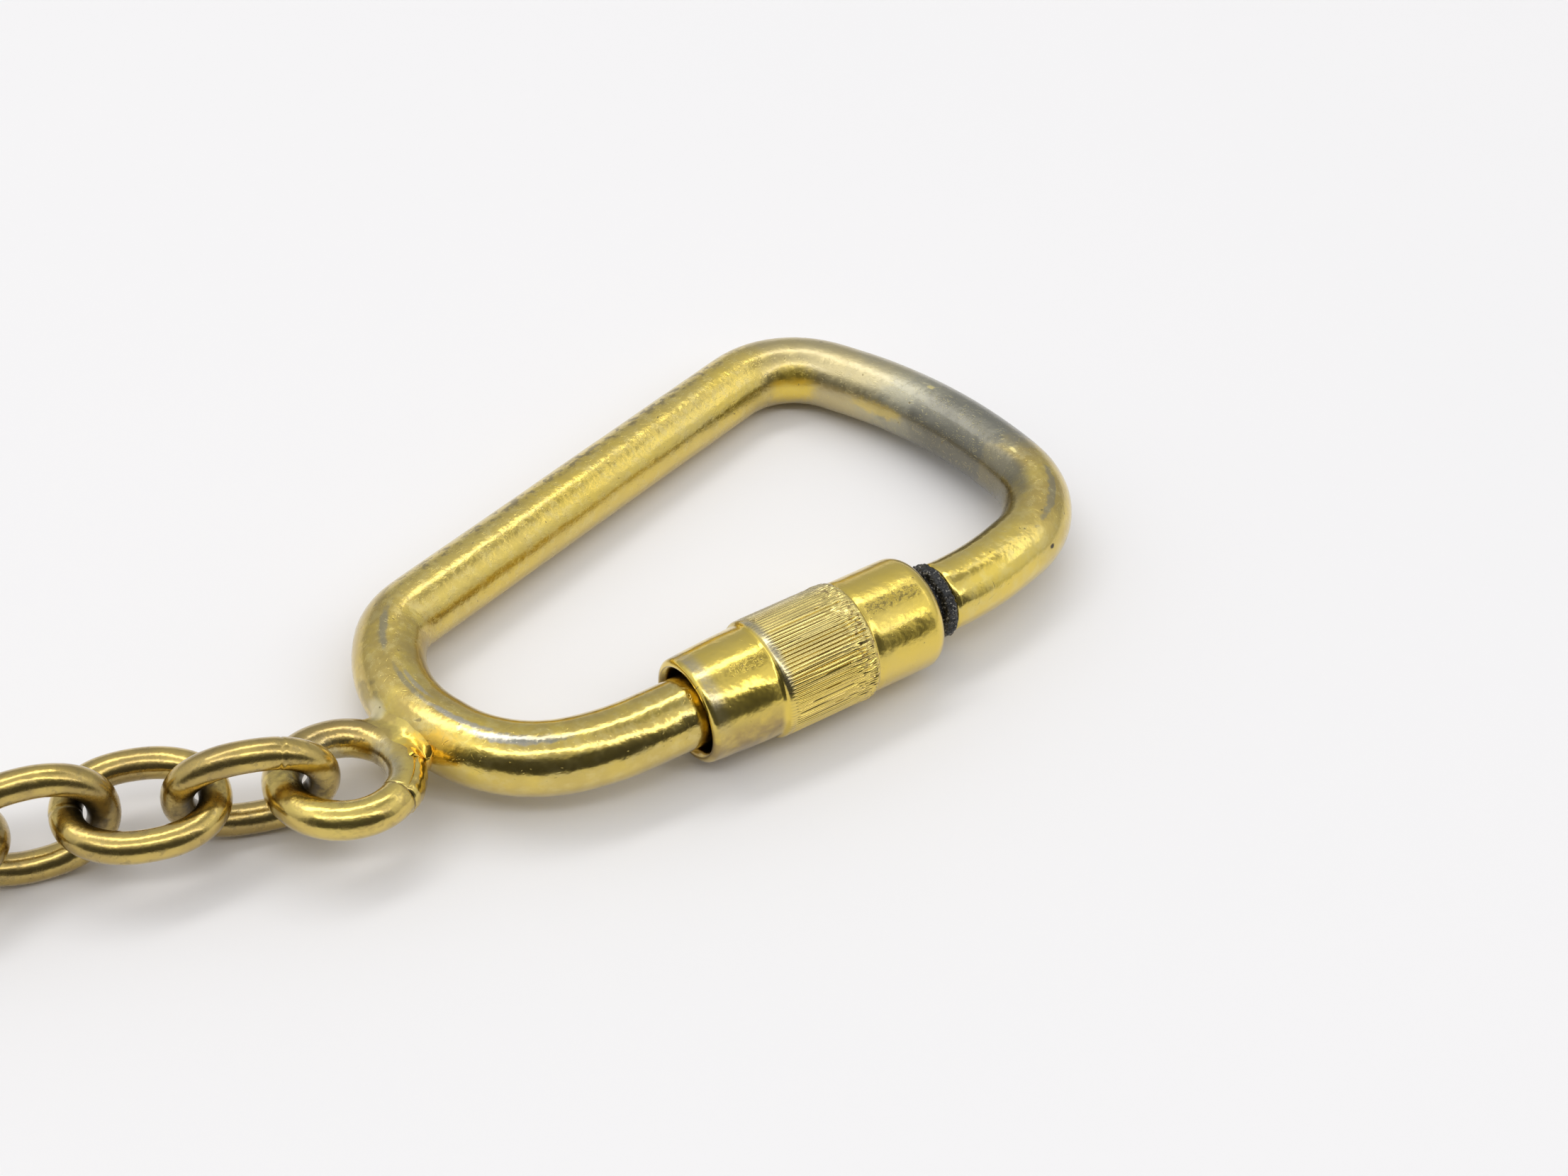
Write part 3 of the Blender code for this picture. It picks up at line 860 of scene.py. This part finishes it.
def rod_space(tree, radius):
    """The unbent wire's own space in mm: run along it, then out and up."""
    along, turn = unrolled(tree)
    run = calc(tree, "MULTIPLY", along, UV_SPAN / MM)
    angle = calc(tree, "MULTIPLY", turn, 2 * math.pi)
    out = calc(tree, "MULTIPLY", calc(tree, "COSINE", angle), radius / MM)
    up = calc(tree, "MULTIPLY", calc(tree, "SINE", angle), radius / MM)
    where = add(tree, "CombineXYZ", {0: run, 1: out, 2: up}).outputs[0]
    return where, run, out, up


def body_space(tree):
    """The piece's own place in mm."""
    coords = add(tree, "TexCoord").outputs["Object"]
    return add(tree, "VectorMath", {0: coords, "Scale": 1 / MM}, operation="SCALE").outputs[0]


def cloudy(tree, where, scale, level, softness):
    """Cloudy patches: how fine, how rare and how soft at their borders."""
    return lay(tree, CLOUD, Where=where, Scale=scale, Level=level, Softness=softness)


def mark_at(tree, where, centre, radius, drawn, ragged):
    """A mark of a radius in mm, drawn out so many times, more or less ragged."""
    return lay(
        tree, MARK, Where=where, Centre=centre, Radius=radius, Drawn=drawn, Ragged=ragged
    )


def nicks_at(tree, where, slants, length, chance):
    """Fine nicks at several slants together."""
    layers = [
        lay(tree, NICKS, Where=where, Slant=slant, Length=length, Width=0.08, Chance=chance)
        for slant in slants
    ]
    return either(tree, *layers)


# Finishes

# Marks on the bow: place on the ring in mm, radius, how far drawn out along
# the rod, raggedness, colour and strength
BOW_MARKS = (
    ((-2.17, 2.35, 4.58), 0.24, 7.0, 0.5, SLATE_GREY, 0.65),
    ((-2.64, -2.04, 4.86), 0.14, 9.0, 0.4, STEEL_GREY, 0.60),
    ((-3.01, -1.95, 4.86), 0.16, 9.0, 0.4, SLATE_GREY, 0.60),
    ((-2.14, -5.08, 5.07), 0.18, 12.0, 0.5, STEEL_GREY, 0.80),
    ((-0.49, -7.90, 5.20), 0.26, 8.0, 0.6, STEEL_GREY, 0.90),
    ((0.92, -8.73, 5.29), 0.26, 7.0, 0.6, SLATE_GREY, 0.70),
    ((35.30, -7.77, 5.14), 0.24, 8.0, 0.8, SLATE_GREY, 0.60),
    ((28.94, 8.85, 2.56), 1.30, 1.7, 0.15, GOLD, 1.0),
    ((32.11, 4.50, 2.89), 0.45, 4.0, 0.5, GOLD, 0.5),
    ((34.80, 3.36, 4.51), 0.16, 1.4, 0.5, PALE_GOLD_AND_SHEEN, 0.8),
    ((35.78, -3.67, 4.93), 0.12, 2.5, 0.3, PALE_GOLD_AND_SHEEN, 0.9),
    ((-4.71, -0.82, 3.69), 0.60, 1.6, 1.0, TARNISH_BROWN, 0.55),
    ((-3.48, -5.84, 4.27), 0.80, 1.5, 0.4, BRAZE_ORANGE, 0.8),
    ((33.39, -10.36, 4.25), 0.14, 1.0, 0.2, GRIME_AND_SHADE, 1.0),
)
# Where the bare grey stretch begins and ends, a blob of solder and burned flux
GREY_START = (35.9, -3.9, 4.9)
GREY_END = (28.6, 11.2, 3.9)
SOLDER_SPOT = (-4.78, -1.96, 3.67)
FLUX_SPOT = (-4.0, -5.7, 4.1)
BOW_SCRATCH_SLANTS = ((0.3, 0.2, 0.9), (0.1, -0.4, -0.7), (0.9, 0.5, 1.5), (-0.5, 0.2, 0.15))
SLEEVE_SCRATCH_SLANTS = ((0.4, 0.1, 0.8), (0.2, -0.3, -1.0))


def finish_bow():
    """Gold plate, dull on the bends, worn to grey round the broad end, nicked all over."""
    made, tree, shader = blank("gold_plate_bow")
    where, run, out, up = rod_space(tree, ROD_RADIUS)
    start, end = on_rod(*GREY_START)[0], on_rod(*GREY_END)[0]
    bar = between(tree, run, end - 1, end + 4, end + 27, end + 33)
    small_bend = between(tree, run, end + 26, end + 31, end + 38, end + 44)
    bends = either(tree, small_bend, between(tree, run, start - 8, start - 4, end, end + 2))
    broad = cloudy(tree, where, 0.22, 0.5, 0.14)
    colour = tint(tree, broad, GOLD, GREEN_GOLD)
    patchy = cloudy(tree, where, 0.5, 0.42, 0.16)
    front = rise(tree, run, end + 40, end + 43)
    dull = both(tree, patchy, either(tree, bends, both(tree, front, 0.6), both(tree, bar, 0.3)))
    colour = tint(tree, dull, colour, DULL_GOLD)
    mottle = cloudy(tree, where, 1.6, 0.56, 0.10)
    colour = tint(tree, mottle, colour, PALE_GOLD_AND_SHEEN, 0.30)

    # The plate worn through, with a ragged border, darkest on the inner side, where the dark grey
    # is painted shade
    edge = total(tree, run, (plain_noise(tree, where, 0.8, 4.0), 4.0))
    grey = between(tree, edge, start + 0.6, start + 4.4, end - 2.0, end + 6.0)
    along = total(tree, run, (patchy, 2.0))
    bare = tint(tree, rise(tree, along, start + 6, start + 11), SLATE_GREY, BARE_GREY)
    bare = tint(tree, rise(tree, along, end - 9, end - 3), bare, WORN_BRASS)
    # Painted shade: dark slate laid on the inner side of the worn stretch
    inner = both(tree, rise(tree, out, 0.4, -0.9), rise(tree, along, start + 13, start + 7), 0.8)
    bare = tint(tree, inner, bare, SHADED_SLATE)
    # Painted shade: the bare colour carried round the inner side, from a little before the worn
    # stretch
    inner_side_shade = both(tree, rise(tree, out, -0.2, -1.1), rise(tree, edge, start - 4, start + 1), 0.9)
    inner_side_shade = both(tree, inner_side_shade, rise(tree, run, end, start))
    colour = tint(tree, either(tree, grey, inner_side_shade), colour, bare)

    # Tarnish and rubbed metal on the flanks of the back bar
    blotch = cloudy(tree, where, 2.0, 0.53, 0.06)
    rim = both(tree, rise(tree, away(tree, out, 0.85), 0.6, 0.2), rise(tree, up, 1.2, 1.6))
    rim = both(tree, rim, bar, blotch)
    colour = tint(tree, rim, colour, TARNISH_BROWN, 0.75)
    outer = both(tree, rise(tree, out, 1.1, 1.9), rise(tree, up, -0.4, 0.4), bar, 0.4)
    colour = tint(tree, outer, colour, STEEL_GREY)

    for spot, radius, drawn, ragged, shade, strength in BOW_MARKS:
        mark = mark_at(tree, where, on_rod(*spot), radius, drawn, ragged)
        colour = tint(tree, mark, colour, shade, strength)
    solder = mark_at(tree, where, on_rod(*SOLDER_SPOT), 0.55, 1.1, 0.1)
    colour = tint(tree, solder, colour, SOLDER_CREAM)
    chance = total(tree, 0.02, (bar, 0.10), (bends, 0.05), (grey, 0.05))
    nicks = nicks_at(tree, where, BOW_SCRATCH_SLANTS, 1.0, chance)
    pits = lay(tree, NICKS, Where=where, Length=0.22, Width=0.22, Chance=0.008)
    colour = tint(tree, both(tree, nicks, total(tree, 0.15, (grey, 0.15))), colour, PALE_GOLD_AND_SHEEN)
    colour = tint(tree, pits, colour, TARNISH_BROWN, 0.7)

    worn = ((bar, 0.07), (bends, 0.07), (grey, 0.11), (mottle, 0.06), (rim, 0.15), (solder, 0.20))
    ripple = lay(tree, RIPPLE, Where=where, Scale=0.9, Fine=total(tree, 0.17, (bar, 0.15)))
    height = total(tree, 0.0, (ripple, 0.045), (nicks, -0.005), (pits, -0.01), (solder, 0.03))
    dress(tree, shader, colour, total(tree, 0.16, *worn), height)
    return made


def finish_sleeve():
    """Bright plate on the collars, paler knurl with painted sheen on its upper side and painted
    shade in its grooves, edges worn grey.
    """
    made, tree, shader = blank("gold_plate_sleeve")
    where, run, out, up = rod_space(tree, RIGHT_COLLAR_RADIUS)
    left, right, tip = LEFT_COLLAR_LENGTH / MM, KNURL_END_X / MM, SLEEVE_LENGTH / MM
    broad = cloudy(tree, where, 0.3, 0.55, 0.15)
    colour = tint(tree, broad, GOLD, GREEN_GOLD, 0.6)
    knurl = between(tree, run, left - 0.05, left + 0.15, right - 0.2, right)
    # Paler knurl, with painted sheen making its upper side paler still
    pale_and_sheen = both(tree, knurl, total(tree, 0.15, (rise(tree, up, 1.2, 2.9), 0.45)))
    colour = tint(tree, pale_and_sheen, colour, PALE_GOLD_AND_SHEEN)

    # Painted shade in the knurl, line by line between the ribs, then dark patches in the torn
    # stretch
    ribs = calc(tree, "MULTIPLY", unrolled(tree)[1], KNURL_RIBS)
    # Painted shade along each groove between the ribs
    groove_shade = rise(tree, away(tree, calc(tree, "FRACT", ribs), 0.5), 0.24, 0.48)
    groove_shade = both(tree, groove_shade, knurl, rise(tree, run, right - 0.6, right - 2.0))
    spread = add(tree, "CombineXYZ", {0: calc(tree, "MULTIPLY", run, 0.2), 1: ribs}).outputs[0]
    uneven = rise(tree, plain_noise(tree, spread, 0.7, 1.0), 0.4, 0.6)
    groove_shade = both(tree, groove_shade, total(tree, 0.3, (uneven, 0.7)))
    torn = cloudy(tree, where, 3.5, 0.56, 0.05)
    torn = both(tree, torn, knurl, rise(tree, run, right - 2.2, right - 0.6))
    colour = tint(tree, either(tree, groove_shade, torn), colour, ANTIQUE_BROWN_AND_SHADE, 0.85)

    # Edges rubbed to bare metal
    patch = cloudy(tree, where, 0.7, 0.47, 0.10)
    upper = rise(tree, up, 1.2, 2.6)
    upper_share = total(tree, 0.4, (upper, 0.6))
    lip = both(tree, between(tree, run, 0.1, 0.4, 0.5, 1.3), upper_share)
    edge = both(tree, between(tree, run, left - 0.05, left + 0.1, left + 0.2, left + 0.7), upper)
    rim = both(tree, rise(tree, run, tip - 0.6, tip - 0.2), total(tree, 0.2, (upper, 0.6)))
    rubbed = both(tree, either(tree, lip, edge, rim), total(tree, 0.25, (patch, 0.4)))
    back = both(tree, rise(tree, out, -0.9, -2.2), rise(tree, up, 1.4, 2.2), knurl, 0.5)
    rubbed = either(tree, rubbed, back)
    colour = tint(tree, rubbed, colour, STEEL_GREY)

    # A speckled band along the collars' crest and a brown smear low on the left one, partly
    # tarnish and partly painted shade
    speckle = cloudy(tree, where, 5.0, 0.52, 0.04)
    left_share = rise(tree, run, left - 0.2, left - 0.9)
    band = both(
        tree,
        rise(tree, away(tree, out, 1.05), 0.45, 0.2),
        rise(tree, up, 2.5, 2.9),
        total(tree, rise(tree, run, right + 0.1, right + 0.5), (left_share, 0.5)),
        between(tree, run, 1.6, 2.4, tip - 1.4, tip - 0.8),
        speckle,
    )
    colour = tint(tree, band, colour, TARNISH_BROWN, 0.6)
    # Tarnish smear low on the left collar, with painted shade on its lower side
    smear_and_shade = cloudy(tree, where, 0.6, 0.40, 0.22)
    smear_and_shade = both(tree, smear_and_shade, rise(tree, run, left - 0.1, left - 0.5), rise(tree, up, 1.6, 0.2))
    colour = tint(tree, smear_and_shade, colour, ANTIQUE_BROWN_AND_SHADE, 0.95)
    nicks = nicks_at(tree, where, SLEEVE_SCRATCH_SLANTS, 0.9, 0.015)
    pits = lay(tree, NICKS, Where=where, Length=0.22, Width=0.22, Chance=0.006)
    colour = tint(tree, pits, colour, TARNISH_BROWN, 0.8)

    pebbled = rise(tree, run, right - 0.2, right + 0.4)
    rough = total(tree, 0.17, (rubbed, 0.12), (nicks, 0.10), (broad, 0.05), (pebbled, 0.05))
    ripple = lay(tree, RIPPLE, Where=where, Scale=1.1, Fine=total(tree, 0.10, (pebbled, 0.07)))
    smooth = total(tree, 0.045, (knurl, -0.035))
    height = total(tree, 0.0, (ripple, smooth), (nicks, -0.004), (pits, -0.01), (band, -0.012))
    dress(tree, shader, colour, rough, height)
    return made


def finish_eye():
    """Paler plate rubbed grey inside, black at the seam, and black with grime and painted shade
    where the first link rubs.
    """
    made, tree, shader = blank("worn_plate_eye")
    where, run, out, up = rod_space(tree, EYE_WIRE_RADIUS)
    seam_run = EYE_SEAM_RUN / MM
    broad = cloudy(tree, where, 0.35, 0.5, 0.14)
    colour = tint(tree, broad, ANTIQUE_GOLD, GREEN_GOLD)
    past_seam = rise(tree, run, seam_run - 1, seam_run + 1)
    inner = both(tree, rise(tree, out, 0.2, -0.7), past_seam, broad)
    colour = tint(tree, inner, colour, STEEL_GREY, 0.7)
    top = both(tree, rise(tree, up, 0.2, 0.9), rise(tree, run, seam_run + 3.5, seam_run + 6), 0.7)
    colour = tint(tree, top, colour, ANTIQUE_BROWN_AND_SHADE)
    mottle = cloudy(tree, where, 1.8, 0.58, 0.08)
    colour = tint(tree, mottle, colour, ANTIQUE_BROWN_AND_SHADE, 0.4)
    spot, contact = body_space(tree), chain_places()[0][2] / MM
    # Grime and painted shade where the first link touches the eye
    grime_and_shade = mark_at(tree, spot, contact, 1.5, 1.0, 0.5)
    seam = both(tree, rise(tree, away(tree, run, seam_run), 0.05, 0.02), 0.7)
    colour = tint(tree, either(tree, both(tree, grime_and_shade, 0.8), seam), colour, GRIME_AND_SHADE)
    rough = total(tree, 0.20, (mottle, 0.08), (inner, 0.10), (grime_and_shade, 0.2))
    ripple = lay(tree, RIPPLE, Where=where, Scale=1.6, Fine=0.15)
    dress(tree, shader, colour, rough, total(tree, 0.0, (ripple, 0.03)))
    return made


def finish_braze():
    """Bright braze over the corner, orange where the flux burned, with a blob of solder."""
    made, tree, shader = blank("braze_gold")
    spot = body_space(tree)
    broad = cloudy(tree, spot, 0.9, 0.5, 0.12)
    colour = tint(tree, broad, DULL_GOLD, GREEN_GOLD)
    ridge = (Vector(BRAZE_RIDGE[0]) + Vector(BRAZE_RIDGE[1])) / 2
    bright = mark_at(tree, spot, ridge, 1.1, 1.0, 0.3)
    colour = tint(tree, bright, colour, GOLD)
    burnt = mark_at(tree, spot, FLUX_SPOT, 1.1, 1.0, 0.5)
    colour = tint(tree, burnt, colour, BRAZE_ORANGE, 0.8)
    solder = mark_at(tree, spot, SOLDER_SPOT, 0.6, 1.0, 0.1)
    colour = tint(tree, solder, colour, SOLDER_CREAM)
    pits = lay(tree, NICKS, Where=spot, Length=0.3, Width=0.25, Chance=0.05)
    colour = tint(tree, pits, colour, TARNISH_BROWN, 0.8)
    rough = total(tree, 0.18, (broad, 0.08), (pits, 0.2), (solder, 0.2))
    ripple = lay(tree, RIPPLE, Where=spot, Scale=1.2, Fine=0.15)
    dress(tree, shader, colour, rough, total(tree, 0.0, (ripple, 0.04), (pits, -0.02)))
    return made


def finish_links():
    """Antique gold wire, brown with wear and with painted shade on the inner side, black with
    grime and painted shade where the links rub.
    """
    made, tree, shader = blank("antique_gold_link")
    out = rod_space(tree, LINK_WIRE_RADIUS)[2]
    spot = body_space(tree)
    broad = cloudy(tree, spot, 0.3, 0.5, 0.15)
    colour = tint(tree, broad, ANTIQUE_GOLD, ANTIQUE_BROWN_AND_SHADE, 0.7)
    # Painted shade: browner on the inner side of each link
    colour = tint(tree, rise(tree, out, 0.2, -0.7), colour, ANTIQUE_BROWN_AND_SHADE, 0.35)
    mottle = cloudy(tree, spot, 2.2, 0.60, 0.08)
    colour = tint(tree, mottle, colour, TARNISH_BROWN, 0.4)
    # Grime and painted shade where each link touches the wire before it
    contacts = [place[2] / MM for place in chain_places()]
    grime_and_shade = either(tree, *[mark_at(tree, spot, at, 1.35, 1.0, 0.4) for at in contacts])
    colour = tint(tree, grime_and_shade, colour, GRIME_AND_SHADE, 0.85)
    rough = total(tree, 0.21, (mottle, 0.08), (grime_and_shade, 0.2), (broad, 0.05))
    ripple = lay(tree, RIPPLE, Where=spot, Scale=1.4, Fine=0.15)
    dress(tree, shader, colour, rough, total(tree, 0.0, (ripple, 0.03)))
    return made


def finish_rubber():
    """Black rubber, shiny on the neck, cracked on the crown, with pale flecks there that are
    partly flaking and partly painted glints.
    """
    made, tree, shader = blank("perished_rubber", metallic=0.0)
    where = body_space(tree)
    neck_end = SLEEVE_LENGTH / MM + 0.5
    crack = cloudy(tree, where, 5.0, 0.5, 0.10)
    colour = tint(tree, crack, RUBBER_BLACK, RUBBER_DUSTY)
    crown = add(tree, "SeparateXYZ", {0: where}).outputs["X"]
    crown = rise(tree, crown, neck_end, neck_end + 0.15)
    # Pale flecks on the crown: partly flaking rubber, partly painted glints
    flake_and_glint = cloudy(tree, where, 7.0, 0.60, 0.03)
    colour = tint(tree, flake_and_glint, colour, RUBBER_FLAKE_GLINT, crown)
    rough = total(tree, 0.10, (crack, 0.10), (crown, 0.12))
    ripple = lay(tree, RIPPLE, Where=where, Scale=3.0, Fine=0.4)
    dress(tree, shader, colour, rough, total(tree, 0.0, (ripple, 0.12)))
    return made


# The table, the light and the camera

TABLE_REACH = 1.5
ROOM_TINT = (0.98, 1.0, 1.03, 1)
ROOM_LEVEL = 0.50
CEILING_GAIN = 0.26
# Brighter stretches of the room: the way towards, cosines at edge and core, gain
SOFT_PANELS = (
    ((-0.72, 0.42, 0.60), 0.70, 0.97, 0.30),
    ((-0.62, -0.05, 0.80), 0.88, 0.98, 0.35),
    ((0.68, -0.52, 0.50), 0.80, 0.98, 0.30),
    ((0.47, 0.03, 0.88), 0.968, 0.993, -0.36),
)
# The dim side of the room: the way towards it and how much darker it is
DIM_SIDE = (-0.423, -0.906, 0)
DIM_SHARE = 0.88
# The lamp frame: each strip's ends in m, its width and its radiance
LAMP_HEIGHT = 0.5
STRIP_LAMPS = (
    ("lamp_far", (-0.30, 0.235), (0.30, 0.215), 0.11, 3.3),
    ("lamp_near_left", (-0.36, -0.06), (0.07, -0.225), 0.085, 3.3),
    ("lamp_near_right", (0.09, -0.24), (0.44, -0.62), 0.085, 3.3),
    ("lamp_right", (0.34, 0.15), (0.72, -0.44), 0.065, 1.4),
)


def finish_table():
    """Plain white, faintly cloudy."""
    made, tree, shader = blank("white_table", metallic=0.0)
    cloud = cloudy(tree, body_space(tree), 0.02, 0.5, 0.3)
    colour = tint(tree, cloud, TABLE_WHITE, TABLE_SHADE)
    tree.links.new(colour, shader.inputs["Base Color"])
    shader.inputs["Roughness"].default_value = 0.7
    return made


def make_table():
    """One flat sheet under the object."""
    turns = ((-1, -1), (1, -1), (1, 1), (-1, 1))
    corners = [(TABLE_REACH * x, TABLE_REACH * y, 0) for x, y in turns]
    mesh = bpy.data.meshes.new("table_top")
    mesh.from_pydata(corners, [], [(0, 1, 2, 3)])
    mesh.materials.append(finish_table())
    table = bpy.data.objects.new("table_top", mesh)
    bpy.context.collection.objects.link(table)


def strip_lamp(name, start, end, width, radiance):
    """A long ceiling lamp between two places, of even brightness."""
    start, end = Vector(start), Vector(end)
    length = (end - start).length
    data = bpy.data.lights.new(name, "AREA")
    data.shape = "RECTANGLE"
    data.size, data.size_y = length, width
    data.energy = radiance * math.pi * length * width
    lamp = bpy.data.objects.new(name, data)
    middle = (start + end) / 2
    lamp.location = (middle.x, middle.y, LAMP_HEIGHT)
    lamp.rotation_euler.z = math.atan2(end.y - start.y, end.x - start.x)
    bpy.context.collection.objects.link(lamp)


def make_light():
    """A pale room with one dim side, and a frame of lamps."""
    world = bpy.data.worlds.new("studio")
    bpy.context.scene.world = world
    world.use_nodes = True
    tree = world.node_tree
    tree.nodes.clear()
    direction = add(tree, "TexCoord").outputs["Generated"]
    height = add(tree, "SeparateXYZ", {0: direction}).outputs["Z"]
    room = total(tree, ROOM_LEVEL, (rise(tree, height, 0.1, 1.0), CEILING_GAIN))
    for toward, edge, core, gain in SOFT_PANELS:
        near = vector_calc(tree, "DOT_PRODUCT", direction, Vector(toward).normalized())
        room = total(tree, room, (rise(tree, near, edge, core), gain))
    level = vector_calc(tree, "NORMALIZE", vector_calc(tree, "MULTIPLY", direction, (1, 1, 0)))
    near = vector_calc(tree, "DOT_PRODUCT", level, Vector(DIM_SIDE).normalized())
    dim = both(tree, rise(tree, near, 0.38, 0.62), between(tree, height, 0.01, 0.06, 0.68, 0.90))
    strength = both(tree, room, total(tree, 1.0, (dim, -DIM_SHARE)))
    back = add(tree, "Background", {"Color": ROOM_TINT, "Strength": strength})
    tree.links.new(back.outputs[0], add(tree, "OutputWorld").inputs[0])
    for name, start, end, width, radiance in STRIP_LAMPS:
        strip_lamp(name, start, end, width, radiance)


def make_camera():
    """The photograph's view."""
    data = bpy.data.cameras.new("photo_view")
    data.sensor_width = SENSOR_WIDTH_MM
    data.lens = FOCAL_PX / PHOTO_WIDTH_PX * SENSOR_WIDTH_MM
    data.clip_start = 0.005
    data.clip_end = 20.0
    camera = bpy.data.objects.new("photo_view", data)
    right = CAMERA_RIGHT.normalized()
    up = (CAMERA_UP - right * CAMERA_UP.dot(right)).normalized()
    turn = Matrix((right, up, right.cross(up))).transposed()
    camera.matrix_world = Matrix.Translation(MOUTH + CAMERA_FROM_MOUTH) @ turn.to_4x4()
    bpy.context.collection.objects.link(camera)
    bpy.context.scene.camera = camera


bpy.context.scene.view_settings.view_transform = "Standard"
make_bow(finish_bow())
make_sleeve(finish_sleeve())
make_stop_ring(finish_rubber())
make_eye(finish_eye())
make_braze(finish_braze())
make_links(finish_links())
make_table()
make_light()
make_camera()
